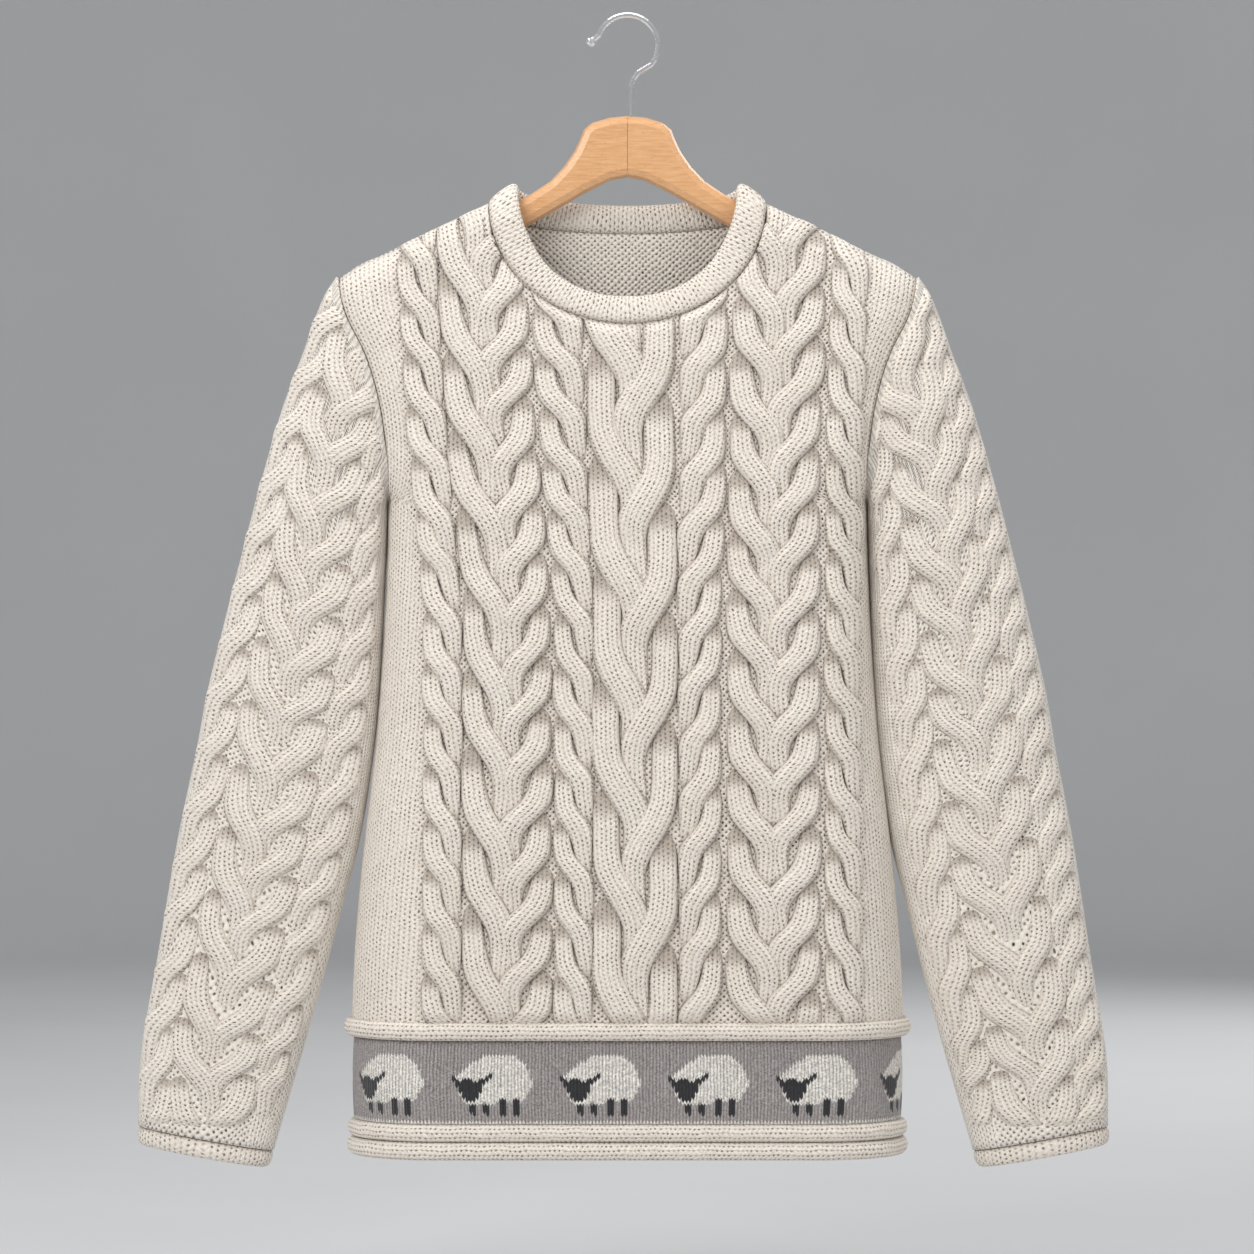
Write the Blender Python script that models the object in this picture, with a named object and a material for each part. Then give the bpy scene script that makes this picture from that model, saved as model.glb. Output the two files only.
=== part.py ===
"""Cable-knit sweater hanging on a wooden hanger with a wire hook.

Metres, +Z up, front towards -Y. The origin is the inner top of the hook, where a rod
carries it. Cloth is a wall between an outer face, raised by the cables, and a plain
inner face. The body is cut as flat panels and laid on a rounded section.
"""
import math

import bmesh
import bpy
import numpy as np
from mathutils import Vector
from mathutils.geometry import delaunay_2d_cdt

MM = 0.001
SEAM_GAP = 0.3 * MM
CLOTH = 2.8 * MM

HEM_TOP = -0.7386
BODY_BOTTOM = HEM_TOP + SEAM_GAP
UNDERARM = -0.351
SHOULDER_TIP = (0.2095, -0.1896)
# Corners of the body's section: how much wider than deep, and their largest share of
# the half width
CORNER_STRETCH = 1.15
CORNER_LIMIT = 0.45
SHOULDER_ROUND = 0.024
# Armhole: cosine of the edge's turn at its deepest, and the height over which it scoops
ARMHOLE_TURN = 0.70
ARMHOLE_SCOOP = 0.055

# Body sections: height, half width of the panels, half depth
BODY_SECTIONS = (
    (-0.125, 0.2110, 0.0170),
    (-0.190, 0.2095, 0.0230),
    (-0.215, 0.2045, 0.0260),
    (-0.245, 0.1900, 0.0290),
    (-0.285, 0.1785, 0.0320),
    (-0.340, 0.1740, 0.0360),
    (-0.377, 0.1743, 0.0390),
    (-0.433, 0.1764, 0.0430),
    (-0.488, 0.1797, 0.0460),
    (-0.524, 0.1825, 0.0480),
    (-0.571, 0.1880, 0.0505),
    (-0.627, 0.1940, 0.0530),
    (-0.671, 0.1976, 0.0545),
    (-0.740, 0.2010, 0.0560),
)

# Shoulder line: distance from the middle, height
SHOULDER_LINE = (
    (0.0950, -0.1330),
    (0.1033, -0.1366),
    (0.1487, -0.1575),
    (0.1804, -0.1733),
    (0.1926, -0.1785),
    (0.2095, -0.1896),
)

# Neckline: centre height, half width, drop of the front and of the back
NECK_LEVEL = -0.1378
NECK_HALF_WIDTH = 0.1000
NECK_DROP = {-1: 0.0860, 1: 0.0180}

# Cables across a panel: kind, centre and half width as shares of the panel's half
# width, height in mm, rise of its crossings in mm, length in repeats
CABLES = (
    ("rib", -0.840, 0.028, 1.3, 0.0, 1),
    ("rope", -0.696, 0.066, 2.9, 24.0, 1),
    ("plait", -0.466, 0.152, 3.1, 22.0, 1),
    ("rope", -0.222, 0.070, 2.9, 24.0, 1),
    ("plait", 0.000, 0.142, 3.6, 26.0, 2),
    ("rope", 0.222, 0.070, 2.9, -24.0, 1),
    ("plait", 0.466, 0.152, 3.1, 22.0, 1),
    ("rope", 0.696, 0.066, 2.9, 24.0, 1),
    ("rib", 0.840, 0.028, 1.3, 0.0, 1),
)
CABLE_COLUMNS = {
    "rib": (-1.0, 0.0, 1.0),
    "rope": (-1.0, -0.5, 0.5, 1.0),
    "plait": (-1.0, -0.55, 0.0, 0.55, 1.0),
}
SIDE_COLUMN = 0.925
CABLE_REPEAT = 0.0380
ROWS_PER_REPEAT = {-1: 3, 1: 2}
ROLL_HEIGHT = 0.0130
ROLL_PROUD = 0.0042
# Stitch rows are level over this stretch next to the roll and to the shoulders
CALM_ZONE = 0.034
CALM_TOP = -0.176
# How far the cables move aside below the neck, from which height, over which fall
CABLE_DRIFT = 0.007
DRIFT_START = -0.2
DRIFT_FALL = 0.25

# Points of a panel: width that stands for its half width in the flat plan, highest
# stitch row in repeats, rows of the roll as shares of it, first row over the roll
PLAN_WIDTH = 0.2
TOP_ROW = 17.0
ROLL_ROWS = (0.3, 0.7, 1.0)
ROW_OVER_ROLL = 0.12
ROW_SHIFT = 0.25
LINING_ROWS = (0.8, 1.4)
LINING_COLUMNS = (-0.9, 0.2)
OUTER_MARGIN = 0.0028
INNER_MARGIN = 0.012
# Along the shoulder: first and last place and step of the points, their falls from the
# shoulder line, one more fall inside, and the step of the outline
SHOULDER_PLACES = (0.110, 0.204, 0.0115)
SHOULDER_FALLS = (0.002, 0.008)
LINING_FALL = 0.020
SHOULDER_STEP = 0.010
UNDERARM_SPARE = 0.004
# Cloth nearer than this to the middle plane belongs to the shoulder seam
SEAM_DEPTH = 0.0012

# Soft creases on the body: place across, height, half width, half height, depth in mm
BODY_CREASES = (
    (-0.72, -0.400, 0.20, 0.020, 2.2),
    (0.72, -0.395, 0.20, 0.020, 2.0),
    (-0.55, -0.250, 0.10, 0.060, 1.6),
    (0.57, -0.255, 0.10, 0.060, 1.6),
    (-0.30, -0.560, 0.10, 0.110, 1.8),
    (0.38, -0.600, 0.12, 0.100, 1.8),
)

# Sleeve, mirrored for the left one: outer edge, inner edge (distance from the middle,
# height), half depth
SLEEVE_RINGS = (
    (0.2095, -0.1896, 0.1762, -0.3500, 0.0235),
    (0.2175, -0.2020, 0.1762, -0.3580, 0.0235),
    (0.2245, -0.2185, 0.1766, -0.3730, 0.0240),
    (0.2330, -0.2430, 0.1772, -0.3920, 0.0245),
    (0.2416, -0.2655, 0.1780, -0.4080, 0.0250),
    (0.2502, -0.2900, 0.1788, -0.4250, 0.0255),
    (0.2650, -0.3415, 0.1800, -0.4520, 0.0260),
    (0.2790, -0.3945, 0.1822, -0.4880, 0.0260),
    (0.2920, -0.4455, 0.1850, -0.5205, 0.0258),
    (0.3031, -0.4908, 0.1888, -0.5490, 0.0255),
    (0.3107, -0.5318, 0.1932, -0.5780, 0.0250),
    (0.3182, -0.5664, 0.1990, -0.6070, 0.0246),
    (0.3269, -0.6103, 0.2090, -0.6430, 0.0240),
    (0.3388, -0.6808, 0.2261, -0.7075, 0.0228),
    (0.3510, -0.7514, 0.2440, -0.7700, 0.0212),
    (0.3528, -0.8042, 0.2590, -0.8213, 0.0198),
)
SLEEVE_ROUNDNESS = 2.3
SLEEVE_LENGTH = 0.65
# Shares of the sleeve's length over which its cloth is drawn to the armhole, there and
# at the underarm, and how much the fold at the underarm is lifted
SLEEVE_HOLD = 0.16
CROTCH_HOLD = 0.024
CROTCH_LIFT = 0.0022
# The same for the turn of the cloth's normal to the armhole's
NORMAL_HOLD = 0.05
CROTCH_NORMAL_CUT = 0.042
# The right sleeve hangs this much further in, from which height, over which fall
RIGHT_SWAY = 0.006
SWAY_START = -0.35
SWAY_FALL = 0.45
SLEEVE_ROWS = 36
SLEEVE_LINING_ROWS = 8
FIRST_LINING_ROW = 0.06
# Stitch rows of a sleeve are level over these shares of its length at its two ends
SLEEVE_CALM_TOP = 0.12
SLEEVE_CALM_END = 0.08
CREST_DIP = 0.3
# Sleeve columns round the tube: angle in degrees from the outer edge over the front,
# cable height in mm, drop of the stitch row in mm
SLEEVE_COLUMNS = (
    (0, 0.4, 0),
    (18, 0.4, 0),
    (34, 0.0, 0),
    (43, 2.4, 3),
    (52, 0.0, 6),
    (58, 0.0, 0),
    (72, 3.0, 9),
    (90, 2.0, 18),
    (108, 3.0, 9),
    (122, 0.0, 0),
    (129, 0.0, 6),
    (138, 2.4, 3),
    (147, 0.0, 0),
    (163, 0.4, 0),
    (180, 0.4, 0),
    (205, 0.4, 0),
    (236, 0.0, 0),
    (252, 2.6, 9),
    (270, 1.6, 18),
    (288, 2.6, 9),
    (304, 0.0, 0),
    (335, 0.4, 0),
)
CUFF_HEIGHT = 0.0132
CUFF_PROUD = 0.0030
CUFF_INWARDS = 0.002
CUFF_FALL_FROM = 0.98
CUFF_STATIONS = 28
CUFF_CORNERS = 6

# Folded edge of the neckband: turn in degrees from the front, share of the neck's
# half width, height over the sewn edge
NECKBAND_FOLD = (
    (0, 0.000, 0.0200),
    (30, 0.397, 0.0170),
    (60, 0.665, 0.0115),
    (78, 0.768, 0.0115),
    (90, 0.800, 0.0156),
    (104, 0.800, 0.0190),
    (122, 0.725, 0.0200),
    (150, 0.440, 0.0205),
    (180, 0.000, 0.0205),
)
NECKBAND_HALF_THICKNESS = 0.0040
NECKBAND_SEAM = 0.0008
NECKBAND_RIBS = 52
NECKBAND_FINE_STEPS = 720
NECK_STEPS = 32
RIB_HEIGHT = 0.0009
NECKBAND_LEAN = 0.0050
# Section of the folded band: half widths up from its seam, half thicknesses out
NECKBAND_SECTION = (
    (0.0, -0.5),
    (0.45, -1.0),
    (1.55, -0.9),
    (2.0, 0.0),
    (1.55, 0.9),
    (0.45, 1.0),
    (0.0, 0.5),
)

BAND_HEIGHT = 0.0597
BAND_HALF_WIDTH = 0.1985
BAND_HALF_DEPTH = 0.0540
BAND_SWELL = (0.0, 0.0007, 0.0011, 0.0008, 0.0)
HEM_STATIONS = 44
# Cream border under the grey band: height from its top, how far it stands out
BORDER_PROFILE = (
    (0.0000, 0.0004),
    (0.0025, 0.0036),
    (0.0062, 0.0046),
    (0.0098, 0.0034),
    (0.0124, 0.0004),
    (0.0150, 0.0034),
    (0.0188, 0.0050),
    (0.0228, 0.0038),
    (0.0254, 0.0006),
)

WOOD_HALF_THICKNESS = 0.0070
WOOD_BEVEL = 0.0058
ARM_BELOW_SHOULDER = 0.0046
# Outline of one half of the hanger, from the mitre: distance from the middle, height.
# Between the two edges its arm follows the shoulder line.
HANGER_TOP_EDGE = (
    (0.0000, -0.0716),
    (0.0130, -0.0728),
    (0.0255, -0.0765),
    (0.0315, -0.0815),
    (0.0345, -0.0890),
    (0.0385, -0.0975),
    (0.0460, -0.1085),
    (0.0560, -0.1190),
    (0.0680, -0.1270),
    (0.0830, -0.1360),
    (0.0920, -0.1394),
    (0.1000, -0.1422),
)
HANGER_LOWER_EDGE = (
    (0.1985, -0.2010),
    (0.1900, -0.2070),
    (0.1500, -0.1880),
    (0.0750, -0.1530),
    (0.0300, -0.1270),
    (0.0120, -0.1182),
    (0.0000, -0.1160),
)
ARM_STATIONS = (0.112, 0.130, 0.1487, 0.165, 0.1804, 0.190)
MITRE_GAP = 0.00015

WIRE_RADIUS = 0.0019
WIRE_SIDES = 8
HOOK_RADIUS = 0.0222
HOOK_DEGREES = (160, -49, -11)
# Ball tip: its end and middle (x and z), the way the wire leaves it, its radius, the
# radius at its end and where the wire starts
BALL_END = (-0.0285, -0.0198)
BALL_MIDDLE = (-0.0268, -0.0180)
BALL_LEAD = (0.74, 0.67)
BALL_RADIUS = 0.0034
BALL_END_RADIUS = 0.0006
BALL_STEPS = 6
WIRE_START = 0.0042
# Stem of the hook: distance from the middle, height
HOOK_STEM = (
    (0.0078, -0.0400),
    (0.0042, -0.0447),
    (0.0026, -0.0500),
    (0.0022, -0.0560),
)
STEM_OFFSET = 0.0022

KNIT_CREAM = (0.72, 0.66, 0.58)
MELANGE_GREY = (0.27, 0.25, 0.25)
BEECH = (0.72, 0.42, 0.20)
CHROME = (0.80, 0.80, 0.82)


def clear_scene():
    for item in list(bpy.data.objects):
        bpy.data.objects.remove(item, do_unlink=True)


def material(name, colour, roughness, metallic=0.0):
    made = bpy.data.materials.new(name)
    made.use_nodes = True
    shader = made.node_tree.nodes["Principled BSDF"]
    shader.inputs["Base Color"].default_value = (*colour, 1.0)
    shader.inputs["Roughness"].default_value = roughness
    shader.inputs["Metallic"].default_value = metallic
    made.diffuse_color = (*colour, 1.0)
    return made


def add_object(name, vertices, faces, finish, sharp_angle=50):
    """A closed body of these faces, turned outwards and shaded smooth."""
    mesh = bpy.data.meshes.new(name)
    mesh.from_pydata([tuple(v) for v in vertices], [], faces)
    shape = bmesh.new()
    shape.from_mesh(mesh)
    bmesh.ops.triangulate(shape, faces=shape.faces)
    bmesh.ops.recalc_face_normals(shape, faces=shape.faces)
    shape.to_mesh(mesh)
    shape.free()
    mesh.shade_smooth()
    mesh.set_sharp_from_angle(angle=math.radians(sharp_angle))
    mesh.materials.append(finish)
    made = bpy.data.objects.new(name, mesh)
    bpy.context.scene.collection.objects.link(made)
    return made


def smooth_curve(keys, values, at):
    """The value at a place on a smooth curve through table rows with rising keys."""
    at = min(max(at, keys[0]), keys[-1])
    row = min(int(np.searchsorted(keys, at, side="right")) - 1, len(keys) - 2)
    slopes = np.gradient(values, keys)
    span = keys[row + 1] - keys[row]
    t = (at - keys[row]) / span
    start = values[row] * (1 + 2 * t) * (1 - t) ** 2
    end = values[row + 1] * t * t * (3 - 2 * t)
    bend = span * (slopes[row] * t * (1 - t) ** 2 - slopes[row + 1] * t * t * (1 - t))
    return float(start + end + bend)


def smooth_step(share):
    share = min(max(share, 0.0), 1.0)
    return share * share * (3 - 2 * share)


SECTION_TABLE = np.array(BODY_SECTIONS)[::-1]
SHOULDER_TABLE = np.array(SHOULDER_LINE)


def body_section(z):
    """Half width, half depth and how far the panel's edge has turned, at a height."""
    heights = SECTION_TABLE[:, 0]
    width = smooth_curve(heights, SECTION_TABLE[:, 1], z)
    depth = smooth_curve(heights, SECTION_TABLE[:, 2], z)
    if z <= UNDERARM:
        return width, depth, math.pi / 2
    scoop = 1 - min((z - UNDERARM) / ARMHOLE_SCOOP, 1.0)
    return width, depth, math.acos(ARMHOLE_TURN * math.sqrt(1 - scoop * scoop))


def corner_of(width, depth, turn):
    """Flat half length, corner radius across, and the corner's length to the edge."""
    across = min(CORNER_STRETCH * depth, CORNER_LIMIT * width)
    flat = width - across * math.sin(turn)
    length = math.sqrt((across * across + depth * depth) / 2) * turn
    return flat, across, length


def shoulder_height(x):
    return smooth_curve(SHOULDER_TABLE[:, 0], SHOULDER_TABLE[:, 1], abs(x))


def shoulder_taper(x, z):
    """Share of the depth that is left where the cloth rounds over the shoulder."""
    below = min(max((shoulder_height(x) - z) / SHOULDER_ROUND, 0.0), 1.0)
    return math.sqrt(1 - (1 - below) ** 2)


def crease_depth(share, z):
    total = 0.0
    for place, height, half_width, half_height, depth in BODY_CREASES:
        off = ((share - place) / half_width) ** 2 + ((z - height) / half_height) ** 2
        total += depth * MM * math.exp(-off)
    return total


def body_point(share, z, side):
    """Point of the plain cloth: share of the half width from the middle, height."""
    width, depth, turn = body_section(z)
    flat, across, length = corner_of(width, depth, turn)
    run = abs(share) * (flat + length)
    x, y = run, depth
    if run > flat:
        angle = (run - flat) / length * turn
        x = flat + across * math.sin(angle)
        y = depth * math.cos(angle)
    y = max(y * shoulder_taper(x, z) - crease_depth(share, z) * (1 - share ** 6), 0.0)
    return Vector((math.copysign(x, share), side * y, z))


def share_at(x, z):
    """The inverse of body_point across the panel."""
    width, depth, turn = body_section(z)
    flat, across, length = corner_of(width, depth, turn)
    run = abs(x)
    if run > flat:
        sine = min((run - flat) / across, math.sin(turn))
        run = flat + math.asin(sine) / turn * length
    return math.copysign(min(run / (flat + length), 1.0), x)


def body_normal(share, z, side):
    step = 0.002
    across = body_point(share + step, z, side) - body_point(share - step, z, side)
    if abs(share) > 1 - step:
        inner = math.copysign(1 - step, share)
        across = body_point(share, z, side) - body_point(inner, z, side)
        across *= math.copysign(1, share)
    up = body_point(share, z + MM, side) - body_point(share, z - MM, side)
    return (across.cross(up) * -side).normalized()


def cable_drift(height):
    """Share of the half width by which the cables lie off the middle."""
    return CABLE_DRIFT / PLAN_WIDTH * smooth_step((DRIFT_START - height) / DRIFT_FALL)


def stitch_drop(share):
    """How far the stitch rows fall, so that they run along the crossings."""
    places, drops = [-1.0], [0.0]
    for kind, centre, half, _, rise, _ in CABLES:
        if kind == "plait":
            places += [centre - half, centre, centre + half]
            drops += [0.0, rise * MM, 0.0]
        else:
            places += [centre - half, centre + half]
            drops += [-rise * MM / 2, rise * MM / 2]
    return float(np.interp(share, places + [1.0], drops + [0.0]))


def row_height(share, row):
    """Height of a stitch row, counted in cable repeats from the lower edge."""
    start = ROLL_HEIGHT / CABLE_REPEAT
    level = BODY_BOTTOM + CABLE_REPEAT * row
    calm = min((row - start) * CABLE_REPEAT / CALM_ZONE, (CALM_TOP - level) / CALM_ZONE, 1.0)
    return level - stitch_drop(share) * max(calm, 0.0)


def row_at(share, z):
    """The inverse of row_height."""
    low, high = 0.0, TOP_ROW + 1
    halvings = 40
    for _ in range(halvings):
        middle = (low + high) / 2
        if row_height(share, middle) < z:
            low = middle
        else:
            high = middle
    return (low + high) / 2


def cable_relief(share, row):
    """Height of the cables over the plain cloth."""
    start = ROLL_HEIGHT / CABLE_REPEAT
    if row < start:
        off = 1 - 2 * row / start
        return ROLL_PROUD * math.sqrt(max(1 - off * off, 0.0))
    for kind, centre, half, height, _, length in CABLES:
        off = abs(share - centre) / half
        if off < 1:
            crown = (1 - off ** 3) * height * MM
            if kind == "rib":
                return crown
            if kind == "plait":
                crown *= 0.72 + 0.28 * math.sin(math.pi * off)
            return crown * (0.66 + 0.34 * math.cos(2 * math.pi * row / length))
    return 0.0


def armhole_height(angle):
    """Height on the armhole's edge, from the shoulder tip (0) to the underarm (pi)."""
    top, bottom = SHOULDER_TIP[1], UNDERARM
    return (top + bottom) / 2 + (top - bottom) / 2 * math.cos(angle)


def neckline_point(angle, side):
    """Distance from the middle and height, from one end (0) to the other (pi)."""
    x = NECK_HALF_WIDTH * math.cos(angle)
    return x, NECK_LEVEL - NECK_DROP[side] * math.sin(angle)


def shoulder_cells(across, below):
    """Places (share, row) that follow the cloth's rounding over the shoulder."""
    cells = []
    for x in across:
        for fall in below:
            z = shoulder_height(x) - fall
            share = share_at(x, z)
            cells += [(share, row_at(share, z)), (-share, row_at(-share, z))]
    return cells


def panel_rim(side, columns, row_step):
    """Outline of a panel as (share, height), anticlockwise seen from the front."""
    rim = [(-1.0, BODY_BOTTOM)] + [(s, BODY_BOTTOM) for s in columns]
    tip_x, tip_z = SHOULDER_TIP
    heights = [float(z) for z in np.arange(BODY_BOTTOM, UNDERARM - UNDERARM_SPARE, row_step)]
    turns = [min(turn, 360 - turn) for turn, *_ in SLEEVE_COLUMNS]
    first, last = (0, 180) if side < 0 else (180, 360)
    turns = [turn for turn, (full, *_) in zip(turns, SLEEVE_COLUMNS) if first < full < last]
    turns = sorted([180] + turns, reverse=True)
    heights += [armhole_height(math.radians(turn)) for turn in turns]
    rim += [(1.0, z) for z in heights]
    reach = tip_x - NECK_HALF_WIDTH
    steps = int(reach / SHOULDER_STEP)
    shoulder = [tip_x - reach * i / steps for i in range(steps)]
    neck = []
    for i in range(NECK_STEPS + 1):
        x, z = neckline_point(math.pi * i / NECK_STEPS, side)
        neck.append((share_at(x, z), z))
    right = [(share_at(x, shoulder_height(x)), shoulder_height(x)) for x in shoulder]
    left = [(-share, z) for share, z in reversed(right)]
    rim += right + neck + left
    rim += [(-1.0, z) for z in heights[:0:-1]]
    return rim


def distance_to_rim(point, rim):
    best = 1.0
    for start, end in zip(rim, rim[1:] + rim[:1]):
        edge = end - start
        along = min(max((point - start).dot(edge) / edge.length_squared, 0.0), 1.0)
        best = min(best, (point - start - edge * along).length)
    return best


def inside_rim(point, rim):
    inside = False
    for start, end in zip(rim, rim[1:] + rim[:1]):
        if (start.y > point.y) != (end.y > point.y):
            cross = start.x + (point.y - start.y) / (end.y - start.y) * (end.x - start.x)
            inside ^= point.x < cross
    return inside


def flat_plan(share, row):
    """A point of the unrolled knitting, in metres, where stitch rows are level."""
    return Vector((share * PLAN_WIDTH, row * CABLE_REPEAT))


def level_plan(share, z):
    """The same for the plain inner face, which has no slanting rows."""
    return Vector((share * PLAN_WIDTH, z))


def fill_plan(rim, loose):
    """Triangles between a rim and the loose points in it."""
    points = rim + loose
    edges = [(i, (i + 1) % len(rim)) for i in range(len(rim))]
    return delaunay_2d_cdt(points, edges, [], 1, 1e-7)[2]


def knit_panel(name, side, finish):
    """Front (-1) or back (+1) of the body: a cabled face over a plain one."""
    columns = []
    for kind, centre, half, *_ in CABLES:
        columns += [centre + half * place for place in CABLE_COLUMNS[kind]]
    columns = [-SIDE_COLUMN] + columns + [SIDE_COLUMN]
    row_step = CABLE_REPEAT / ROWS_PER_REPEAT[side]
    rim = panel_rim(side, columns, row_step)
    plan_rim = [flat_plan(s, row_at(s, z)) for s, z in rim]
    start = ROLL_HEIGHT / CABLE_REPEAT
    rows = [share * start for share in ROLL_ROWS] + [start + ROW_OVER_ROLL]
    rows += list(np.arange(1.0, TOP_ROW, 1.0 / ROWS_PER_REPEAT[side]) - ROW_SHIFT)
    cabled = [(s, r) for r in rows for s in columns]
    first_row, row_stride = LINING_ROWS
    first_column, column_stride = LINING_COLUMNS
    plain = [(s, r) for r in np.arange(first_row, TOP_ROW, row_stride)
             for s in np.arange(first_column, 1, column_stride)]

    def kept(cells, margin, first):
        chosen = list(first)
        taken = [flat_plan(share, row) for share, row in first]
        for share, row in cells:
            spot = flat_plan(share, row)
            clear = all((spot - other).length > margin for other in taken)
            if clear and inside_rim(spot, plan_rim):
                if distance_to_rim(spot, plan_rim) > margin:
                    chosen.append((share, row))
        return chosen

    shoulder = np.arange(*SHOULDER_PLACES)
    lining_falls = (*SHOULDER_FALLS, LINING_FALL)
    outer_cells = kept(cabled, OUTER_MARGIN, shoulder_cells(shoulder, SHOULDER_FALLS))
    inner_cells = kept(plain, INNER_MARGIN, shoulder_cells(shoulder, lining_falls))
    outer_faces = fill_plan(plan_rim, [flat_plan(s, r) for s, r in outer_cells])
    level_rim = [level_plan(s, z) for s, z in rim]
    level_cells = [level_plan(s, row_height(s, r)) for s, r in inner_cells]
    inner_faces = fill_plan(level_rim, level_cells)

    def lifted(share, z, rise):
        drift = cable_drift(z) * (1 - share * share)
        point = body_point(share + drift, z, side)
        point += body_normal(share + drift, z, side) * rise
        point.y = side * max(side * point.y, SEAM_GAP / 2)
        return point

    on_seam = [abs(body_point(s, z, side).y) < SEAM_DEPTH for s, z in rim]
    outer = []
    inner = []
    for (share, z), seam in zip(rim, on_seam):
        row = row_at(share, z)
        rise = cable_relief(share, row) if row < start else 0.0
        for wall, height in ((outer, rise), (inner, -CLOTH)):
            point = body_point(share, z, side) + body_normal(share, z, side) * height
            if seam:
                point.y = side * SEAM_GAP / 2
            wall.append(point)
    for share, row in outer_cells:
        outer.append(lifted(share, row_height(share, row), cable_relief(share, row)))
    for share, row in inner_cells:
        inner.append(lifted(share, row_height(share, row), -CLOTH))

    shift = len(outer)
    faces = [tuple(face) for face in outer_faces]
    faces += [tuple(shift + i for i in reversed(face)) for face in inner_faces]
    for i in range(len(rim)):
        j = (i + 1) % len(rim)
        faces.append((j, i, shift + i, shift + j))
    return add_object(name, outer + inner, faces, finish)


def ring_mesh(rings):
    """Faces between closed rings of points, which themselves close into a loop."""
    size = len(rings[0])
    faces = []
    for k in range(len(rings)):
        after = (k + 1) % len(rings)
        for i in range(size):
            j = (i + 1) % size
            faces.append((k * size + i, k * size + j, after * size + j, after * size + i))
    return [point for ring in rings for point in ring], faces


def armhole_edge(angle):
    z = armhole_height(angle)
    side = -1 if math.sin(angle) >= 0 else 1
    normal = body_normal(1.0, z, side)
    if abs(math.sin(angle)) < 0.001:
        normal = Vector((normal.x, 0, normal.z)).normalized()
    return body_point(1.0, z, side), normal


def armhole_point(angle):
    """Start of the sleeve and the cloth's normal there, a seam's gap off the panels.

    The angle runs from the shoulder tip (0) down the front (pi / 2) to the underarm.
    """
    point, normal = armhole_edge(angle)
    step = 0.03
    ahead, behind = armhole_edge(angle + step)[0], armhole_edge(angle - step)[0]
    outward = normal.cross(ahead - behind).normalized()
    return point + outward * SEAM_GAP, normal


def underarm_share(angle):
    """1 at the underarm, where the cloth folds back on itself, 0 elsewhere."""
    return max(-math.cos(angle), 0.0) ** 8


SLEEVE_TABLE = np.array(SLEEVE_RINGS)


def sleeve_point(angle, place):
    """Plain cloth of the right sleeve: angle round it, share along."""
    rows = np.arange(len(SLEEVE_TABLE), dtype=float)
    at = place * (len(SLEEVE_TABLE) - 1)
    outer_x, outer_z, inner_x, inner_z, depth = (
        smooth_curve(rows, SLEEVE_TABLE[:, column], at) for column in range(5))

    def bowed(value):
        return math.copysign(abs(value) ** (2 / SLEEVE_ROUNDNESS), value)

    across = bowed(math.cos(angle))
    x = (outer_x + inner_x) / 2 + (outer_x - inner_x) / 2 * across
    z = (outer_z + inner_z) / 2 + (outer_z - inner_z) / 2 * across
    return Vector((x, -depth * bowed(math.sin(angle)), z))


def sewn_sleeve_point(angle, place):
    """The sleeve's cloth, drawn to the armhole over its first stretch."""
    point = sleeve_point(angle, place)
    folded = underarm_share(angle)
    reach = SLEEVE_HOLD + (CROTCH_HOLD - SLEEVE_HOLD) * folded
    hold = 1 - smooth_step(place / reach)
    if hold > 0:
        edge, _ = armhole_point(angle)
        point += (edge - sleeve_point(angle, 0.0)) * hold
        point.z += CROTCH_LIFT * folded * math.sin(math.pi * hold)
    return point


def sleeve_normal(angle, place):
    turn, step = 0.02, 0.004
    around = sewn_sleeve_point(angle + turn, place) - sewn_sleeve_point(angle - turn, place)
    ahead = min(place + step, 1.0)
    behind = max(place - step, 0.0)
    along = sewn_sleeve_point(angle, ahead) - sewn_sleeve_point(angle, behind)
    normal = around.cross(along).normalized()
    reach = NORMAL_HOLD - CROTCH_NORMAL_CUT * underarm_share(angle)
    hold = 1 - smooth_step(place / reach)
    if hold > 0:
        _, edge_normal = armhole_point(angle)
        normal = (normal * (1 - hold) + edge_normal * hold).normalized()
    return normal


def place_of_side(point, side_sign):
    """The right sleeve hangs a little closer in towards its cuff."""
    if side_sign < 0:
        return Vector((-point.x, point.y, point.z))
    lower = smooth_step((SWAY_START - point.z) / SWAY_FALL)
    return Vector((point.x - RIGHT_SWAY * lower, point.y, point.z))


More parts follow.
